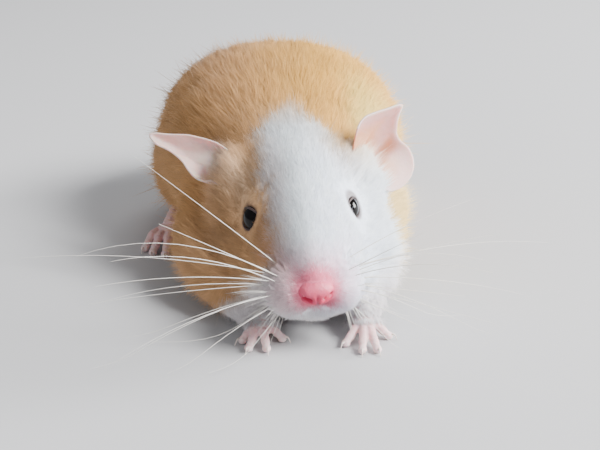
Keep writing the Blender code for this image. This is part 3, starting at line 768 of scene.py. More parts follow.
class RatCoat(PropertyGroup):
    """Colours, lengths and density of the coat"""

    fawn: FloatVectorProperty(
        name="Fawn",
        description="Colour of the back and flanks",
        default=(0.73, 0.385, 0.125),
        **COLOUR,
    )
    cream: FloatVectorProperty(
        name="Cream",
        description="Colour that the fawn fades to underneath",
        default=(0.82, 0.62, 0.44),
        **COLOUR,
    )
    white: FloatVectorProperty(
        name="White",
        description="Colour of the face and the wrists",
        default=(0.805, 0.87, 0.92),
        **COLOUR,
    )
    pink: FloatVectorProperty(
        name="Pink",
        description="Colour of the skin that shows round the nose",
        default=(0.77, 0.15, 0.24),
        **COLOUR,
    )
    back_length: FloatProperty(
        name="Back hair",
        description="Length of the hair on the back",
        unit="LENGTH",
        min=0.001,
        max=0.012,
        default=0.0058,
    )
    face_length: FloatProperty(
        name="Face hair",
        description="Length of the hair beside the nose",
        unit="LENGTH",
        min=0.0003,
        max=0.003,
        default=0.0010,
    )
    leg_length: FloatProperty(
        name="Leg hair",
        description="Length of the hair on the forelegs",
        unit="LENGTH",
        min=0.0005,
        max=0.005,
        default=0.0030,
    )
    tufts: IntProperty(
        name="Tufts",
        description="Number of tufts in the whole coat",
        min=1000,
        max=370000,
        default=345000,
    )
    seed: IntProperty(name="Seed", description="Start of the random draws", default=5)


class RatFeatures(PropertyGroup):
    """Colours of the bare parts, and the whiskers"""

    skin: FloatVectorProperty(
        name="Bare skin",
        description="Colour of feet and tail",
        default=(0.78, 0.50, 0.50),
        **COLOUR,
    )
    nose: FloatVectorProperty(
        name="Nose",
        description="Colour of the nose leather",
        default=(0.73, 0.135, 0.215),
        **COLOUR,
    )
    ear: FloatVectorProperty(
        name="Ear",
        description="Colour of the thin skin of the ears",
        default=(0.60, 0.34, 0.30),
        **COLOUR,
    )
    whiskers: IntProperty(
        name="Whiskers in a row",
        description="Number of long whiskers in the fullest row of a pad",
        min=2,
        max=8,
        default=4,
    )
    whisker_root: FloatProperty(
        name="Whisker thickness",
        description="Thickness of a whisker at its root",
        unit="LENGTH",
        min=0.0001,
        max=0.001,
        default=0.00017,
    )


class RatStage(PropertyGroup):
    """The studio round the rat"""

    floor: FloatVectorProperty(
        name="Floor",
        description="Colour of the floor",
        default=(0.50, 0.50, 0.51),
        **COLOUR,
    )
    key: FloatProperty(
        name="Key light", description="Strength of the main light", min=0, default=1.25
    )
    fill: FloatProperty(
        name="Fill light", description="Strength of the soft light", min=0, default=0.1
    )
    sky: FloatProperty(
        name="Sky", description="Brightness of the surroundings", min=0, default=0.28
    )


def coat_finish():
    return finish_material(
        "Coat",
        attribute="coat",
        size=1400.0,
        amount=0.10,
        roughness=0.65,
        Specular_IOR_Level=0.25,
        Sheen_Weight=0.06,
    )


def under_coat_finish():
    return finish_material(
        "Skin under the coat",
        attribute="coat",
        size=1600.0,
        amount=0.35,
        bump=0.0002,
        roughness=0.75,
    )


def bare_skin_finish():
    return finish_material(
        "Bare skin",
        attribute="tint",
        size=2600.0,
        amount=0.16,
        bump=0.00006,
        roughness=0.5,
        Subsurface_Weight=0.25,
        Subsurface_Scale=0.0008,
    )


def eye_turn(side):
    """The turn that points an eye's own Z axis out through its pupil."""
    yaw = Matrix.Rotation(math.radians(side * EYE_YAW), 3, "Z")
    pitch = Matrix.Rotation(math.radians(90 - EYE_PITCH), 3, "X")
    return yaw @ pitch


def eye_middle(side_name):
    """The middle of an eyeball, before the head is rolled."""
    side = SIDES[side_name]
    middle = Vector((side * EYE[0], EYE[1], EYE[2]))
    return middle + eye_turn(side) @ Vector((0, 0, EYE_BULGE[side_name]))


def round_eye(side_name, wider, out):
    """A ring on the eyeball round its opening, wider by one amount and out by another."""
    turn = eye_turn(SIDES[side_name])
    middle = eye_middle(side_name)
    width, height = EYE_OPENING[side_name]
    path = []
    for step in range(LID_STEPS):
        angle = 2 * math.pi * step / LID_STEPS
        across = min(width + wider, WIDEST_OPENING) * math.cos(angle)
        up = min(height + wider, WIDEST_OPENING) * math.sin(angle)
        deep = math.sqrt(EYE_RADIUS**2 - across**2 - up**2)
        path.append(rolled(middle + turn @ Vector((across, up, deep + out))))
    return path


class RAT_OT_skin(Operator):
    """Makes one skin over the head, trunk and upper legs"""

    bl_idname = "rat.skin"
    bl_label = "Skin"

    VOXEL = 0.45
    SMOOTHINGS = 7
    # How far the flesh is swelled to fuse, how far the skin then lies inside the hair's reach,
    # and how deep the hollow before the right ear and the mouth's crease are
    SWELL = 0.24
    UNDER_HAIR = 0.25
    EAR_HOLLOW = 0.8
    MOUTH_DEPTH = 0.45
    LOWEST = 0.3
    # The skin is painted a little darker than the hair over it, as painted shade under the coat
    PAINTED_UNDER_COAT_SHADE = 0.92
    NOSE_BED = (2.9, 2.35, 2.2)

    def joined_flesh(self):
        whole = bmesh.new()
        for name in FLESH:
            piece = bmesh.new()
            piece.from_mesh(bpy.data.objects[name].data)
            bmesh.ops.remove_doubles(piece, verts=piece.verts, dist=1e-7)
            bmesh.ops.transform(piece, matrix=FROM_FRAME, verts=piece.verts)
            piece.normal_update()
            for vertex in piece.verts:
                vertex.co += vertex.normal * self.SWELL
            mesh = mesh_of("piece", piece)
            whole.from_mesh(mesh)
            bpy.data.meshes.remove(mesh)
        x, y, z = NOSE
        for vertex in ball_into(whole, (x, y + 0.35, z + 0.75), self.NOSE_BED):
            vertex.co = rolled(vertex.co)
        for side_name, side in SIDES.items():
            lid = round_eye(side_name, LID_FLESH, LID_FLESH_OUT)
            tube_into(whole, lid, [LID_FLESH + self.SWELL] * len(lid), closed=True)
            (x, y, z), half_sizes, turn = MUZZLE
            for vertex in ball_into(whole, (side * x, y, z), half_sizes, side * turn, 32):
                vertex.co = rolled(vertex.co)
        return mesh_of("flesh", whole)

    def execute(self, context):
        mesh = fused("flesh", self.joined_flesh(), self.VOXEL, self.SMOOTHINGS)
        points, normals = points_of(mesh), normals_of(mesh)
        points -= normals * (self.SWELL + self.UNDER_HAIR * hair_length(points))[:, None]
        points -= normals * (self.EAR_HOLLOW * near_ear_hollow(points))[:, None]
        front, height = MOUTH_FRONT
        slope = math.tan(math.radians(MOUTH_SLOPE))
        for side in SIDES.values():
            corner = (side * MOUTH_HALF, MOUTH_BACK, height - slope * (MOUTH_BACK - front))
            lip = rolled((side * 3.2, front + 1.6, height - 0.2))
            middle = rolled((0, front, height))
            for start, end in ((rolled(corner), lip), (lip, middle)):
                crease = near_line(points, start, end, 0.55)
                points -= normals * (self.MOUTH_DEPTH * crease)[:, None]
        points[:, 2] = np.maximum(points[:, 2], self.LOWEST)
        move_points(mesh, points)
        paint(mesh, "coat", coat_colours(points) * self.PAINTED_UNDER_COAT_SHADE)
        finish("skin", mesh, under_coat_finish(), "fawn_coat", *FLESH)
        return {"FINISHED"}


class RAT_OT_eyes(Operator):
    """Makes the eyes and the rims of their lids"""

    bl_idname = "rat.eyes"
    bl_label = "Eyes"

    def execute(self, context):
        glossy = finish_material(
            "Eye",
            colour=(0.004, 0.003, 0.003),
            amount=0.0,
            roughness=0.04,
            Specular_IOR_Level=0.2,
        )
        rim = finish_material("Lid", colour=(0.05, 0.03, 0.028), amount=0.3, roughness=0.5)
        for name in SIDES:
            bm = bmesh.new()
            ball_into(bm, rolled(eye_middle(name)), [EYE_RADIUS] * 3, segments=64)
            finish("eyeball_" + name, mesh_of("eye", bm), glossy, "eye", "eye_" + name)
            bm = bmesh.new()
            path = round_eye(name, 0.0, LID_EDGE_OUT)
            tube_into(bm, path, [LID_EDGE] * len(path), closed=True)
            finish("lid_" + name, mesh_of("lid", bm), rim, "bare_skin")
        return {"FINISHED"}


class RAT_OT_nose(Operator):
    """Makes the nose leather with its nostrils"""

    bl_idname = "rat.nose"
    bl_label = "Nose"

    # Depths of the groove down the middle and of the nostrils, and the height of their wings
    GROOVE = 0.35
    HOLLOW = 1.0
    WING = 0.16
    # Colours inside the nostrils and on the lower edge
    DARK = (0.42, 0.035, 0.07)
    LOW = (0.52, 0.02, 0.08)

    def execute(self, context):
        bm = bmesh.new()
        ball_into(bm, NOSE, NOSE_HALF, segments=96)
        mesh = mesh_of("nose", bm)
        points, normals = points_of(mesh), normals_of(mesh)
        groove = hump(points[:, 0], self.GROOVE, 0, 0.22) * smoothstep(12.8, 11.8, points[:, 2])
        points -= normals * groove[:, None]
        hollow = np.zeros(len(points))
        x, y, z = NOSTRIL
        for side in SIDES.values():
            inner = (side * (x - 0.35), y, z - 0.25)
            outer = (side * (x + 0.7), y + 0.5, z + 0.3)
            hollow = np.maximum(hollow, near_line(points, inner, outer, 0.34))
            wing = near(points, (side * x, y + 0.5, z + 0.95), 0.8)
            points += normals * (self.WING * wing)[:, None]
        points -= normals * (self.HOLLOW * hollow)[:, None]
        points = np.array([rolled(point)[:] for point in points])
        move_points(mesh, points)
        low = 0.9 * smoothstep(13.6, 11.6, points[:, 2])
        colours = blend(np.array(context.scene.rat_features.nose), self.LOW, low)
        paint(mesh, "tint", blend(colours, self.DARK, hollow**1.5))
        leather = finish_material(
            "Nose leather",
            attribute="tint",
            size=3200.0,
            amount=0.15,
            bump=0.00012,
            roughness=0.42,
            Subsurface_Weight=0.3,
            Subsurface_Scale=0.0008,
        )
        finish("nose_leather", mesh, leather, "nose_skin", "nose")
        return {"FINISHED"}


class RAT_OT_ears(Operator):
    """Makes the thin cupped ears"""

    bl_idname = "rat.ears"
    bl_label = "Ears"

    ROUND = 96
    ROWS = 40
    THICKNESS = 0.3
    # How far round the rim a fold slants on its way to the root
    FOLD_SLANT = 0.22
    # Colours of the thin edge, its own paleness and a painted highlight along the rim; of the
    # inside by the root and in the fold, painted shade on the left ear and painted light on the
    # right; of painted shade in the hollow of the flap at the front; and of a band of painted
    # shade and glow across the lobe
    PALE = (0.86, 0.70, 0.66)
    ROOT_SHADE_AND_LIGHT = {"left": (0.54, 0.24, 0.12), "right": (1.0, 0.76, 0.66)}
    FLAP_SHADE = (0.46, 0.19, 0.19)
    FLAP_SHADE_SHARE = {"left": 0.30, "right": 0.04}
    LOBE_SHADE_AND_GLOW = (0.72, 0.42, 0.26)
    LOBE_SHADE_AND_GLOW_SHARE = {"left": 0.34, "right": 0.0}
    RIGHT_LOBE = 0.35

    def leaf(self, side_name):
        """An ear's mesh, with each vertex's place round the rim and out from the root."""
        rim = smooth_path([(*spot, 0) for spot in EAR_RIM[side_name]], self.ROUND)
        bm = bmesh.new()
        bmesh.ops.create_grid(bm, x_segments=self.ROUND, y_segments=self.ROWS, size=1)
        places = [((vertex.co.x + 1) / 2, (vertex.co.y + 1) / 2) for vertex in bm.verts]
        fold, depth = EAR_FOLD[side_name]
        for vertex, (around, part) in zip(bm.verts, places):
            edge = rim[round(around * self.ROUND)]
            root = Vector((-EAR_SUNK, EAR_ROOT_HALF * (1 - 2 * around), 0))
            spot = root.lerp(edge, part)
            middle = math.sin(math.pi * around)
            forward = EAR_CURL * part**3 * middle**2
            forward -= EAR_CUP * middle * math.sin(math.pi * part * EAR_CUP_REACH)
            crease = math.exp(-(((around - fold - self.FOLD_SLANT * (1 - part)) / 0.05) ** 2))
            forward -= depth * crease * math.sin(math.pi * min(part, 0.96))
            forward += 0.16 * math.sin(9 * math.pi * around) * part * (1 - part)
            vertex.co = ear_point(side_name, spot.x, spot.y, forward)
        bmesh.ops.recalc_face_normals(bm, faces=bm.faces)
        bmesh.ops.solidify(bm, geom=bm.faces, thickness=self.THICKNESS)
        mesh = mesh_of("ear", bm)
        places = np.tile(np.array(places), (len(mesh.vertices) // len(places) + 1, 1))
        return mesh, places[: len(mesh.vertices)].T

    def tints(self, name, skin, around, part):
        """The ear's colours, with painted shade and light, at places round the rim and out from
        the root.
        """
        fold = EAR_FOLD[name][0]
        # The rim is paler, partly its own colour and partly a painted highlight
        edge = 0.6 * smoothstep(0.92, 1.0, part)
        lobe = 0.45 * smoothstep(fold, fold + 0.1, around) if name == "left" else self.RIGHT_LOBE
        colours = blend(skin, self.PALE, np.maximum(edge, lobe))
        # Painted shade in the hollow of the flap at the front
        flap_shade = hump(around, self.FLAP_SHADE_SHARE[name], 0.27, 0.15) * smoothstep(0.95, 0.7, part)
        colours = blend(colours, self.FLAP_SHADE, flap_shade)
        # Painted shade down the fold and toward the root of the left ear; painted light there on
        # the right ear
        crease = hump(around, 0.85, fold + self.FOLD_SLANT * (1 - part), 0.06)
        crease *= smoothstep(1.0, 0.86, part)
        depth, outer, inner = EAR_ROOT_SHADING[name]
        root = depth * np.maximum(0.95 * smoothstep(outer, inner, part), crease)
        colours = blend(colours, self.ROOT_SHADE_AND_LIGHT[name], root)
        # A band of painted shade and glow through the thin skin across the lobe
        lobe_glow = hump(part, self.LOBE_SHADE_AND_GLOW_SHARE[name], 0.62, 0.13)
        lobe_glow *= smoothstep(0.55, 0.66, around) * smoothstep(1.0, 0.88, around)
        return blend(colours, self.LOBE_SHADE_AND_GLOW, lobe_glow)

    def execute(self, context):
        skin = np.array(context.scene.rat_features.ear)
        thin = finish_material(
            "Ear skin",
            attribute="tint",
            size=1500.0,
            amount=0.14,
            bump=0.00005,
            roughness=0.55,
            Specular_IOR_Level=0.3,
            Subsurface_Weight=0.4,
            Subsurface_Scale=0.0015,
        )
        for name in SIDES:
            mesh, (around, part) = self.leaf(name)
            paint(mesh, "tint", self.tints(name, skin, around, part))
            finish("ear_leaf_" + name, mesh, thin, "bare_skin", "ear_" + name)
        return {"FINISHED"}


class RAT_OT_feet(Operator):
    """Makes the four feet with their digits and claws"""

    bl_idname = "rat.feet"
    bl_label = "Feet"

    VOXEL = 0.17
    # Places along a digit, and its radius at each: thick at the joints and the end pad
    STATIONS = (0, 0.33, 0.5, 0.66, 0.85, 1)
    FINGER_RADII = (0.95, 0.84, 0.68, 0.76, 0.60, 0.66)
    TOE_RADII = (1.15, 0.95, 0.76, 0.84, 0.68, 0.74)
    DIGIT_STEPS = 12
    KNUCKLE_HEIGHT = {"finger": 2.3, "toe": 2.2}
    TIP_HEIGHT = {"finger": 0.7, "toe": 0.75}
    CLAW_STEPS = 6
    CLAW_REACH = 0.8
    CLAW_TIP_HEIGHT = 0.12
    # The undersides are paler than the skin above, partly their own colour and partly painted
    # light lifting the paws out of the head's shade
    PALE = (0.86, 0.70, 0.69)
    PALE_SHARE = 0.75
    WRINKLES = 0.035

    def digit(self, bm, claws, root, tip, height, radii):
        """A jointed digit: narrow between swollen joints, with an end pad and a claw."""
        knuckle = root.lerp(tip, 0.48)
        knuckle.z = height
        joint = knuckle.lerp(tip, 0.55)
        path = smooth_path([root, knuckle, joint, tip], self.DIGIT_STEPS)
        parts = np.linspace(0, 1, self.DIGIT_STEPS + 1)
        tube_into(bm, path, np.interp(parts, self.STATIONS, radii))
        ball_into(bm, tip, [radii[-1] * 1.12, radii[-1] * 1.2, radii[-1] * 1.0], segments=16)
        along = Vector((tip.x - root.x, tip.y - root.y, 0)).normalized()
        start = tip + along * radii[-1] * 0.5 + Vector((0, 0, 0.25))
        bend = start + along * 0.65 + Vector((0, 0, 0.10))
        end = tip + along * (radii[-1] + self.CLAW_REACH)
        end.z = self.CLAW_TIP_HEIGHT
        path = smooth_path([start, bend, end], self.CLAW_STEPS)
        tube_into(claws, path, np.linspace(0.22, 0.05, len(path)), 2)

    def forefoot(self, bm, claws, name):
        wrist = Vector(WRIST[name])
        palm = wrist + Vector((0, -0.8, -0.7))
        ball_into(bm, palm, (2.5, 2.6, 1.6))
        ball_into(bm, wrist + Vector((0, 1.2, 0.3)), (2.2, 3.0, 2.0))
        for x, y in FINGER_TIPS[name]:
            tip = Vector((x, y, self.TIP_HEIGHT["finger"]))
            height = self.KNUCKLE_HEIGHT["finger"]
            self.digit(bm, claws, palm.copy(), tip, height, self.FINGER_RADII)

    def hindfoot(self, bm, claws, name):
        side = SIDES[name]
        heel = Vector((side * HEEL[name][0], HEEL[name][1], SOLE_HEIGHT))
        ball = Vector((side * BALL[name][0], BALL[name][1], SOLE_HEIGHT))
        heading = (ball - heel).normalized()
        across = Vector((-heading.y, heading.x, 0))
        path = smooth_path([heel, heel.lerp(ball, 0.5), ball], 8)
        tube_into(bm, path, np.interp(range(9), (0, 4, 8), (1.9, 2.2, 2.4)), 5)
        ball_into(bm, ball, (3.3, 3.2, 1.9))
        ball_into(bm, heel, (2.3, 2.6, 1.9))
        for index, length in enumerate(TOE_LENGTHS):
            part = index / (len(TOE_LENGTHS) - 1) - 0.5
            turn = Matrix.Rotation(math.radians(TOE_SPREAD * part), 3, "Z")
            root = ball + across * part * TOE_ROOTS_WIDTH
            tip = root + turn @ heading * length
            tip.z = self.TIP_HEIGHT["toe"]
            self.digit(bm, claws, root, tip, self.KNUCKLE_HEIGHT["toe"], self.TOE_RADII)

    def execute(self, context):
        skin = np.array(context.scene.rat_features.skin)
        claw_finish = finish_material(
            "Claw", colour=(0.80, 0.68, 0.62), amount=0.1, roughness=0.3
        )
        for make, kind in ((self.forefoot, "forepaw"), (self.hindfoot, "hindfoot")):
            for name in SIDES:
                bm, claws = bmesh.new(), bmesh.new()
                make(bm, claws, name)
                mesh = fused(kind, mesh_of(kind, bm), self.VOXEL, 3)
                points, normals = points_of(mesh), normals_of(mesh)
                wrinkle = self.WRINKLES * ripple(points * (1, 2.2, 1), 0.9, 21)
                points += normals * wrinkle[:, None]
                points[:, 2] = np.maximum(points[:, 2], SKIN_CLEARS)
                move_points(mesh, points)
                # Paler toward the floor: the undersides' own colour, with painted light on the
                # shaded paws
                low = self.PALE_SHARE * smoothstep(2.6, 0.6, points[:, 2])
                paint(mesh, "tint", blend(skin, self.PALE, low))
                node = f"{kind}_{name}"
                finish(node + "_skin", mesh, bare_skin_finish(), "bare_skin", node)
                finish(node + "_claws", mesh_of("claws", claws), claw_finish, "claw")
        return {"FINISHED"}


class RAT_OT_tail(Operator):
    """Makes the ringed tail"""

    bl_idname = "rat.tail"
    bl_label = "Tail"

    STEPS = 420
    # Length of a ring of scales, and the share by which it narrows toward its end
    RING = 0.95
    RING_DEPTH = 0.045
    # Colour of the dusky root
    TAN = (0.62, 0.42, 0.34)

    def execute(self, context):
        path = smooth_path(TAIL_PATH, self.STEPS)
        gone = 0.0
        radii = []
        for step, point in enumerate(path):
            if step:
                gone += (point - path[step - 1]).length
            part = step / self.STEPS
            radius = TAIL_ROOT_RADIUS + (TAIL_TIP_RADIUS - TAIL_ROOT_RADIUS) * part**0.8
            tooth = (gone / self.RING) % 1.0
            radius *= 0.985 - self.RING_DEPTH * tooth
            point.z = max(point.z, radius * 0.98)
            radii.append(radius)
        bm = bmesh.new()
        tube_into(bm, path, radii, 5)
        mesh = mesh_of("tail", bm)
        points = points_of(mesh)
        points[:, 2] = np.maximum(points[:, 2], SKIN_CLEARS)
        move_points(mesh, points)
        skin = np.array(context.scene.rat_features.skin)
        root = 0.5 * smoothstep(104, 78, points[:, 1])
        paint(mesh, "tint", blend(skin, self.TAN, root))
        nodes = [f"tail_{number}" for number in (1, 2, 3, 4)]
        finish("tail_skin", mesh, bare_skin_finish(), "bare_skin", *nodes)
        return {"FINISHED"}


class RAT_OT_whiskers(Operator):
    """Makes the whiskers of both pads"""

    bl_idname = "rat.whiskers"
    bl_label = "Whiskers"

    STEPS = 10
    SHORT_HAIRS = 26
    # How many whiskers each row has less than the fullest
    FEWER = (2, 0, 0, 2, 2)
    # How much of its root's thickness a whisker loses on the way to its tip
    THINNING = 0.82
    # How far each whisker may differ: share of length, sag, and degrees upward and forward
    LENGTHS = (0.7, 1.0)
    SAGS = (-0.12, 0.16)
    RISES = (-10, 10)
    TURNS = (-7, 7)
    # The short hairs' angles in degrees and lengths
    SHORT_TURNS = (-50, 40)
    SHORT_RISES = (-75, 35)
    SHORT_LENGTHS = (2.5, 7.0)

    def clear_of_floor(self, point):
        """The point, bent upward where it would come near the floor."""
        if point.z < WHISKER_BENDS_AT:
            depth = WHISKER_BENDS_AT - WHISKER_CLEARS
            fall = math.exp((point.z - WHISKER_BENDS_AT) / depth)
            point.z = WHISKER_CLEARS + depth * fall
        return point

    def path(self, side_name, row, back, draw):
        """The path of a long whisker, with back from 0 at the front of its row to 1."""
        side = SIDES[side_name]
        rise, length, sag = WHISKER_ROWS[row]
        rise -= WHISKER_DROP[side_name]
        length *= WHISKER_REACH[side_name]
        x, y, z = WHISKER_BED
        x -= WHISKER_BED_TAPER * back
        root = Vector((side * x, y + WHISKER_BED_DEPTH * back, z - WHISKER_ROW_DROP * row))
        length *= SHORTEST_WHISKER + (1 - SHORTEST_WHISKER) * back
        length *= draw.uniform(*self.LENGTHS)
        sag += draw.uniform(*self.SAGS)
        rise = math.radians(rise + draw.uniform(*self.RISES))
        turn = draw.uniform(*self.TURNS)
        forward = math.radians(WHISKER_FORWARD - WHISKER_FAN * back + turn)
        out = math.cos(rise)
        heading = Vector(
            (side * out * math.cos(forward), -out * math.sin(forward), math.sin(rise))
        )
        path = []
        for step in range(self.STEPS + 1):
            t = step / self.STEPS
            bend = Vector((0, WHISKER_SWEEP, -sag)) * t * t
            path.append(self.clear_of_floor(rolled(root + length * (heading * t + bend))))
        return path

    def short_hair(self, side_name, draw):
        """One of the short stiff hairs between the whiskers, on pad and chin."""
        side = SIDES[side_name]
        turn = math.radians(draw.uniform(*self.SHORT_TURNS))
        rise = math.radians(draw.uniform(*self.SHORT_RISES))
        heading = Vector(
            (
                side * math.cos(rise) * math.cos(turn),
                math.cos(rise) * math.sin(turn),
                math.sin(rise),
            )
        )
        (x, y, z), half_sizes, _ = MUZZLE
        middle = Vector((side * x, y, z))
        half = Vector(half_sizes)
        root = middle + Vector([part * size * 0.95 for part, size in zip(heading, half)])
        length = draw.uniform(*self.SHORT_LENGTHS)
        bend = Vector((0, 0.4, -0.25)) * length
        return [
            self.clear_of_floor(rolled(root + heading * length * t + bend * t * t))
            for t in (0, 0.25, 0.5, 0.75, 1)
        ]

    def execute(self, context):
        features = context.scene.rat_features
        root = features.whisker_root / MM / 2
        hair = finish_material(
            "Whisker", colour=(0.82, 0.78, 0.72), amount=0.05, roughness=0.35
        )
        steps = range(self.STEPS + 1)
        radii = [root * (1 - self.THINNING * step / self.STEPS) for step in steps]
        for name in SIDES:
            draw = random.Random(31 + SIDES[name])
            bm = bmesh.new()
            for row in range(len(WHISKER_ROWS)):
                number = max(2, features.whiskers - self.FEWER[row])
                for place in range(number):
                    back = place / (number - 1)
                    tube_into(bm, self.path(name, row, back, draw), radii, 0)
            for _ in range(self.SHORT_HAIRS):
                path = self.short_hair(name, draw)
                tube_into(bm, path, np.linspace(root * 0.62, root * 0.12, len(path)), 0)
            mesh = mesh_of("whiskers", bm)
            finish("whiskers_" + name, mesh, hair, "whisker", "whisker_pad_" + name)
        return {"FINISHED"}


class RAT_OT_coat(Operator):
    """Covers the skin with tufts that follow the lie of the coat"""

    bl_idname = "rat.coat"
    bl_label = "Coat"

    PIECES = 8
    PATCH = 0.003
    # Streaks of tone run along the body
    STREAKS = (1.0, 0.2, 0.6)
    LOWEST = 0.12
    HIGHEST = 38.9
    PAW_HAIR = 2.7
    # How many locks the pads have, and how closely their tips meet
    LOCKS = 130
    LOCKED = 0.7
    # How far the tufts' lengths differ, and the shares and lengths of the long and guard hairs
    LENGTHS = (0.62, 1.08)
    LONG_SHARE = 0.035
    LONG_BY = 1.4
    GUARD_SHARE = 0.004
    GUARD_BY = 1.45
    # A tuft's width at the root, and what each millimetre of its length adds
    WIDTH = 0.050
    WIDER = 0.015
    # How far a root is sunk into the skin, and the lift of most of the hair in degrees
    SUNK = 0.10
    LIFT = 10
    # The first pieces, on the face, are passed the white slot's name
    WHITE_PIECES = 3
    CORNERS = 4
    FACES = ((1, 0, 3), (2, 1, 3), (0, 2, 3), (0, 1, 2))
    # How light each corner is: dark at the root, light at the tip, partly the hair's own darker
    # base and partly painted shade deep in the coat
    ROOT_SHADE_AND_TONE = (0.74, 0.74, 0.74, 1.06)
    # Each corner's place in the tuft's own patch of the map
    SPREAD = ((0, 0), (1, 0), (0.5, 0.3), (0.5, 1))

    def unwrapped(self):
        """The skin and the forepaws with an unwrap of their own shape, as arrays."""
        whole = bmesh.new()
        for name in ("skin", "forepaw_left_skin", "forepaw_right_skin"):
            whole.from_mesh(bpy.data.objects[name].data)
        mesh = mesh_of("unwrap", whole)
        mesh.transform(FROM_FRAME)
        copy = new_object("unwrap", mesh)
        bpy.context.view_layer.objects.active = copy
        copy.select_set(True)
        bpy.ops.object.mode_set(mode="EDIT")
        bpy.ops.mesh.select_all(action="SELECT")
        bpy.ops.uv.smart_project(angle_limit=math.radians(66), island_margin=0.002)
        bpy.ops.object.mode_set(mode="OBJECT")
        mesh.calc_loop_triangles()
        count = len(mesh.loop_triangles)
        corners = np.empty(count * 3, dtype=np.int32)
        mesh.loop_triangles.foreach_get("vertices", corners)
        loops = np.empty(count * 3, dtype=np.int32)
        mesh.loop_triangles.foreach_get("loops", loops)
        flat = np.empty(len(mesh.loops) * 2, dtype=np.float32)
        mesh.uv_layers.active.data.foreach_get("uv", flat)
        arrays = (
            points_of(mesh),
            normals_of(mesh),
            corners.reshape(-1, 3),
            flat.reshape(-1, 2)[loops].reshape(-1, 3, 2),
        )
        drop(copy)
        return arrays

    def density(self, points, normals):
        """How close the tufts stand at each point, against the back."""
        close = np.interp(points[:, 1], (-20, -8, 6, 20, 80), (6.0, 4.8, 3.0, 1.5, 1.0))
        under = smoothstep(-0.3, -0.8, normals[:, 2])
        return close * (1 - 0.65 * under) * (1 + 2.2 * near_ear_root(points))

    def bare(self, points, on_paws):
        """True where no hair grows: on the eyes, under the nose leather and on the digits."""
        nose = (points - np.array(rolled(NOSE))) / np.array(NOSE_HALF)
        inside = np.linalg.norm(nose, axis=1) < 1.0
        for side_name, centre in zip(SIDES, eye_centres()):
            away = np.linalg.norm(points - np.array(centre), axis=1)
            inside |= away < EYE_RADIUS + EYE_CLEAR[side_name]
        haired = np.zeros(len(points), dtype=bool)
        for side_name in SIDES:
            away = np.linalg.norm((points - np.array(WRIST[side_name]))[:, :2], axis=1)
            haired |= (away < self.PAW_HAIR) & (points[:, 2] > 1.6)
        return inside | (on_paws & ~haired)

    def roots(self, draw, count):
        """Places on the skin, their normals and their spots on the map."""
        points, normals, corners, flat = self.unwrapped()
        a, b, c = (points[corners[:, index]] for index in range(3))
        area = np.linalg.norm(np.cross(b - a, c - a), axis=1) / 2
        middle = (a + b + c) / 3
        weight = area * self.density(middle, normals[corners].mean(axis=1))
        on_paws = corners[:, 0] >= len(bpy.data.objects["skin"].data.vertices)
        weight[self.bare(middle, on_paws)] = 0
        chosen = draw.choice(len(corners), size=count, p=weight / weight.sum())
        u, v = draw.random(count), draw.random(count)
        over = u + v > 1
        u[over], v[over] = 1 - u[over], 1 - v[over]
        share = np.stack((1 - u - v, u, v), axis=1)[:, :, None]
        place = (points[corners[chosen]] * share).sum(axis=1)
        normal = (normals[corners[chosen]] * share).sum(axis=1)
        normal /= np.linalg.norm(normal, axis=1)[:, None]
        return place, normal, (flat[chosen] * share).sum(axis=1)

    def locked(self, draw, place, tip):
        """The tips, drawn together into small locks on the whisker pads."""
        chosen = np.flatnonzero(near_pads(place) > 0.2)
        leads = draw.choice(chosen, self.LOCKS)
        away = np.linalg.norm(place[chosen, None] - place[leads], axis=2)
        lead = leads[away.argmin(axis=1)]
        goal = tip[lead] + 0.35 * (tip[lead] - place[lead])
        tip[chosen] += self.LOCKED * (goal - tip[chosen])
        return tip

    def tufts(self, draw, place, normal):
        """The four corners of each tuft, the last of them its tip, and the way it faces."""
        count = len(place)
        flow = lie_of_coat(place)
        flow -= normal * (flow * normal).sum(axis=1)[:, None]
        flow /= np.linalg.norm(flow, axis=1)[:, None] + 1e-9
        across = np.cross(normal, flow)
        sway = 0.20 * ripple(place, 6.0, 11) + 0.17 * ripple(place, 1.5, 12)
        sway += draw.normal(0, 0.13, count)
        flow = flow * np.cos(sway)[:, None] + across * np.sin(sway)[:, None]
        across = np.cross(normal, flow)
        sides = smoothstep(9, 13, np.abs(place[:, 0])) * smoothstep(32, 16, place[:, 1])
        cheeks = near_cheeks(place)
        long = draw.random(count) < self.LONG_SHARE + 0.06 * sides + 0.10 * cheeks
        length = hair_length(place) * draw.uniform(*self.LENGTHS, count)
        length *= np.where(long, self.LONG_BY, 1.0) * (1 + 0.08 * ripple(place, 3.0, 13))
        guard = draw.random(count) < self.GUARD_SHARE
        length *= np.where(guard, self.GUARD_BY, 1.0)
        width = (self.WIDTH + self.WIDER * length) * np.where(long | guard, 0.7, 1.0)
        lift = self.LIFT + 3 * ripple(place, 1.8, 14) + draw.normal(0, 4, count)
        lift += (12 + 8 * sides) * long + 24 * guard
        lift += 16 * near_pads(place) + 22 * cheeks + 22 * near_ear_tuft(place, 2.2)
        lift += 14 * near_ear_root(place) + 8 * smoothstep(-8, -16, place[:, 1])
        lift = np.radians(lift)[:, None]
        sunk = place - normal * self.SUNK
        tip = sunk + length[:, None] * (flow * np.cos(lift) + normal * np.sin(lift))
        tip = self.locked(draw, place, tip)
        reach = (across * width[:, None]) / 2
        ridge = normal * (width * 0.8)[:, None]
        corners = np.stack((sunk + reach, sunk - reach, sunk + ridge, tip), axis=1)
        corners[:, :, 2] = np.clip(corners[:, :, 2], self.LOWEST, self.HIGHEST)
        facing = normal + 0.25 * flow + draw.normal(0, 0.10, (count, 3))
        return corners, facing / np.linalg.norm(facing, axis=1)[:, None]

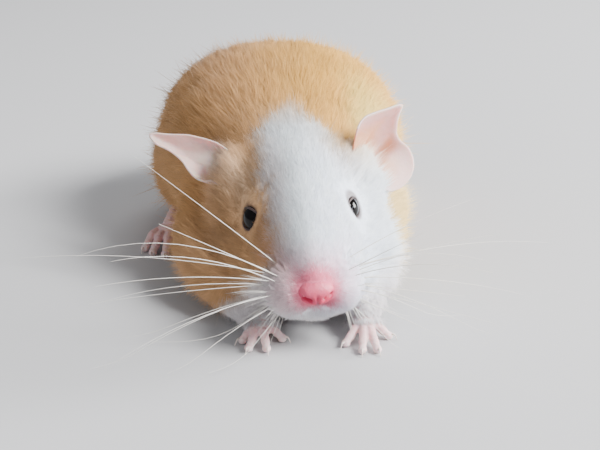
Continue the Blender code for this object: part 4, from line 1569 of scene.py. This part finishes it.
    def piece_mesh(self, name, corners, colours, flat):
        """One mesh of many tufts, each a sliver with its own spot on the map."""
        count = len(corners)
        mesh = bpy.data.meshes.new(name)
        order = np.array(self.FACES, dtype=np.int32).ravel()
        faces = count * len(self.FACES)
        mesh.vertices.add(count * self.CORNERS)
        mesh.vertices.foreach_set("co", corners.ravel())
        loops = (np.arange(count, dtype=np.int32)[:, None] * self.CORNERS + order).ravel()
        mesh.loops.add(len(loops))
        mesh.loops.foreach_set("vertex_index", loops)
        mesh.polygons.add(faces)
        mesh.polygons.foreach_set("loop_start", np.arange(faces, dtype=np.int32) * 3)
        mesh.update(calc_edges=True)
        root_shade_and_tone = np.array(self.ROOT_SHADE_AND_TONE)[None, :, None]
        paint(mesh, "coat", np.clip(colours[:, None, :] * root_shade_and_tone, 0, 1).reshape(-1, 3))
        layer = mesh.uv_layers.new(name="OFBake")
        spread = np.array(self.SPREAD)[order]
        spots = flat[:, None, :] + (spread - 0.5) * self.PATCH
        layer.data.foreach_set("uv", np.clip(spots, 0, 1).ravel())
        return mesh

    def execute(self, context):
        coat = context.scene.rat_coat
        draw = np.random.default_rng(coat.seed)
        place, normal, flat = self.roots(draw, coat.tufts)
        corners, facing = self.tufts(draw, place, normal)
        tone = 1 + draw.normal(0, 0.06, (len(place), 1)) + 0.035 * ripple(place, 2.2, 17)[:, None]
        tone += 0.028 * ripple(place * self.STREAKS, 0.8, 19)[:, None]
        colours = coat_colours(place + draw.normal(0, 0.5, place.shape)) * tone
        order = np.argsort(place[:, 1])
        for number, chosen in enumerate(np.array_split(order, self.PIECES), 1):
            name = f"coat_{number}"
            mesh = self.piece_mesh(name, corners[chosen], colours[chosen], flat[chosen])
            slot = "white_coat" if number <= self.WHITE_PIECES else "fawn_coat"
            piece = finish(name, mesh, coat_finish(), slot)
            facings = np.repeat(facing[chosen], self.CORNERS, axis=0)
            piece.data.normals_split_custom_set_from_vertices(facings)
        return {"FINISHED"}


def camera_axes():
    """Position, right, up and forward of the camera in the model's own space."""
    turn, rise = math.radians(VIEW_TURN), math.radians(VIEW_RISE)
    target = Vector(VIEW_POINT)
    away = Vector(
        (
            math.sin(turn) * math.cos(rise),
            -math.cos(turn) * math.cos(rise),
            math.sin(rise),
        )
    )
    place = target + away * VIEW_DISTANCE
    focal = LENS / SENSOR * PICTURE[0]
    ahead = -away
    right = ahead.cross(Vector((0, 0, 1))).normalized()
    up = right.cross(ahead)
    ahead = ahead - right * ((VIEW_POINT_PIXEL[0] - PICTURE[0] / 2) / focal)
    ahead += up * ((VIEW_POINT_PIXEL[1] - PICTURE[1] / 2) / focal)
    ahead.normalize()
    right = ahead.cross(Vector((0, 0, 1))).normalized()
    return place, right, right.cross(ahead), ahead


class RAT_OT_stage(Operator):
    """Sets the floor, the lights and the camera"""

    bl_idname = "rat.stage"
    bl_label = "Stage"

    AIM = (0.0, -0.02, 0.015)
    SKY_COLOUR = (0.90, 0.94, 1.0, 1)
    FLOOR_HALF = 3

    def lamp(self, name, place, size, strength, glossy=False):
        light = bpy.data.lights.new(name, "AREA")
        light.size = size
        light.energy = strength
        obj = new_object(name, light)
        obj.location = place
        ahead = Vector(self.AIM) - Vector(place)
        obj.rotation_euler = ahead.to_track_quat("-Z", "Y").to_euler()
        obj.visible_glossy = glossy

    def execute(self, context):
        stage = context.scene.rat_stage
        bm = bmesh.new()
        bmesh.ops.create_grid(bm, x_segments=1, y_segments=1, size=self.FLOOR_HALF)
        floor = new_object("floor", mesh_of("floor", bm))
        floor.data.materials.append(
            finish_material("Floor", colour=stage.floor, amount=0.0, roughness=0.9)
        )
        self.lamp("Key", (0.60, -0.42, 0.62), 0.36, stage.key * 20, glossy=True)
        self.lamp("Window", (0.80, 0.10, 0.22), 0.30, stage.key * 10, glossy=True)
        self.lamp("Fill", (-0.45, -0.35, 0.25), 0.50, stage.fill * 10)
        self.lamp("Back", (0.15, 0.45, 0.45), 0.35, stage.fill * 22)
        world = bpy.data.worlds.new("Studio")
        world.use_nodes = True
        backdrop = world.node_tree.nodes["Background"]
        backdrop.inputs["Color"].default_value = self.SKY_COLOUR
        backdrop.inputs["Strength"].default_value = stage.sky
        context.scene.world = world
        place, right, up, ahead = camera_axes()
        view = bpy.data.cameras.new("Camera")
        view.lens = LENS
        view.sensor_width = SENSOR
        view.clip_start = 0.005
        camera = new_object("Camera", view)
        turn = Matrix((right, up, -ahead)).transposed().to_4x4()
        camera.matrix_world = Matrix.Translation(TO_FRAME @ place) @ turn
        context.scene.camera = camera
        return {"FINISHED"}


class RAT_PT_panel(Panel):
    """Lists the rat's settings and its pieces"""

    bl_idname = "RAT_PT_panel"
    bl_label = "Rat"
    bl_space_type = "VIEW_3D"
    bl_region_type = "UI"
    bl_category = "Rat"

    def draw(self, context):
        layout = self.layout
        for settings in ("rat_coat", "rat_features", "rat_stage"):
            box = layout.box()
            group = getattr(context.scene, settings)
            for name in group.__annotations__:
                box.prop(group, name)
        for operator in OPERATORS:
            layout.operator(operator.bl_idname)


GROUPS = {"rat_coat": RatCoat, "rat_features": RatFeatures, "rat_stage": RatStage}
OPERATORS = (
    RAT_OT_skin,
    RAT_OT_eyes,
    RAT_OT_nose,
    RAT_OT_ears,
    RAT_OT_feet,
    RAT_OT_tail,
    RAT_OT_whiskers,
    RAT_OT_coat,
    RAT_OT_stage,
)


def register():
    for group in GROUPS.values():
        bpy.utils.register_class(group)
    for name, group in GROUPS.items():
        setattr(bpy.types.Scene, name, PointerProperty(type=group))
    for operator in OPERATORS:
        bpy.utils.register_class(operator)
    bpy.utils.register_class(RAT_PT_panel)


def unregister():
    bpy.utils.unregister_class(RAT_PT_panel)
    for operator in reversed(OPERATORS):
        bpy.utils.unregister_class(operator)
    for name in GROUPS:
        delattr(bpy.types.Scene, name)
    for group in reversed(GROUPS.values()):
        bpy.utils.unregister_class(group)


def main():
    register()
    bpy.ops.rat.skin()
    bpy.ops.rat.eyes()
    bpy.ops.rat.nose()
    bpy.ops.rat.ears()
    bpy.ops.rat.feet()
    bpy.ops.rat.tail()
    bpy.ops.rat.whiskers()
    bpy.ops.rat.coat()
    bpy.ops.rat.stage()


if __name__ == "__main__":
    main()
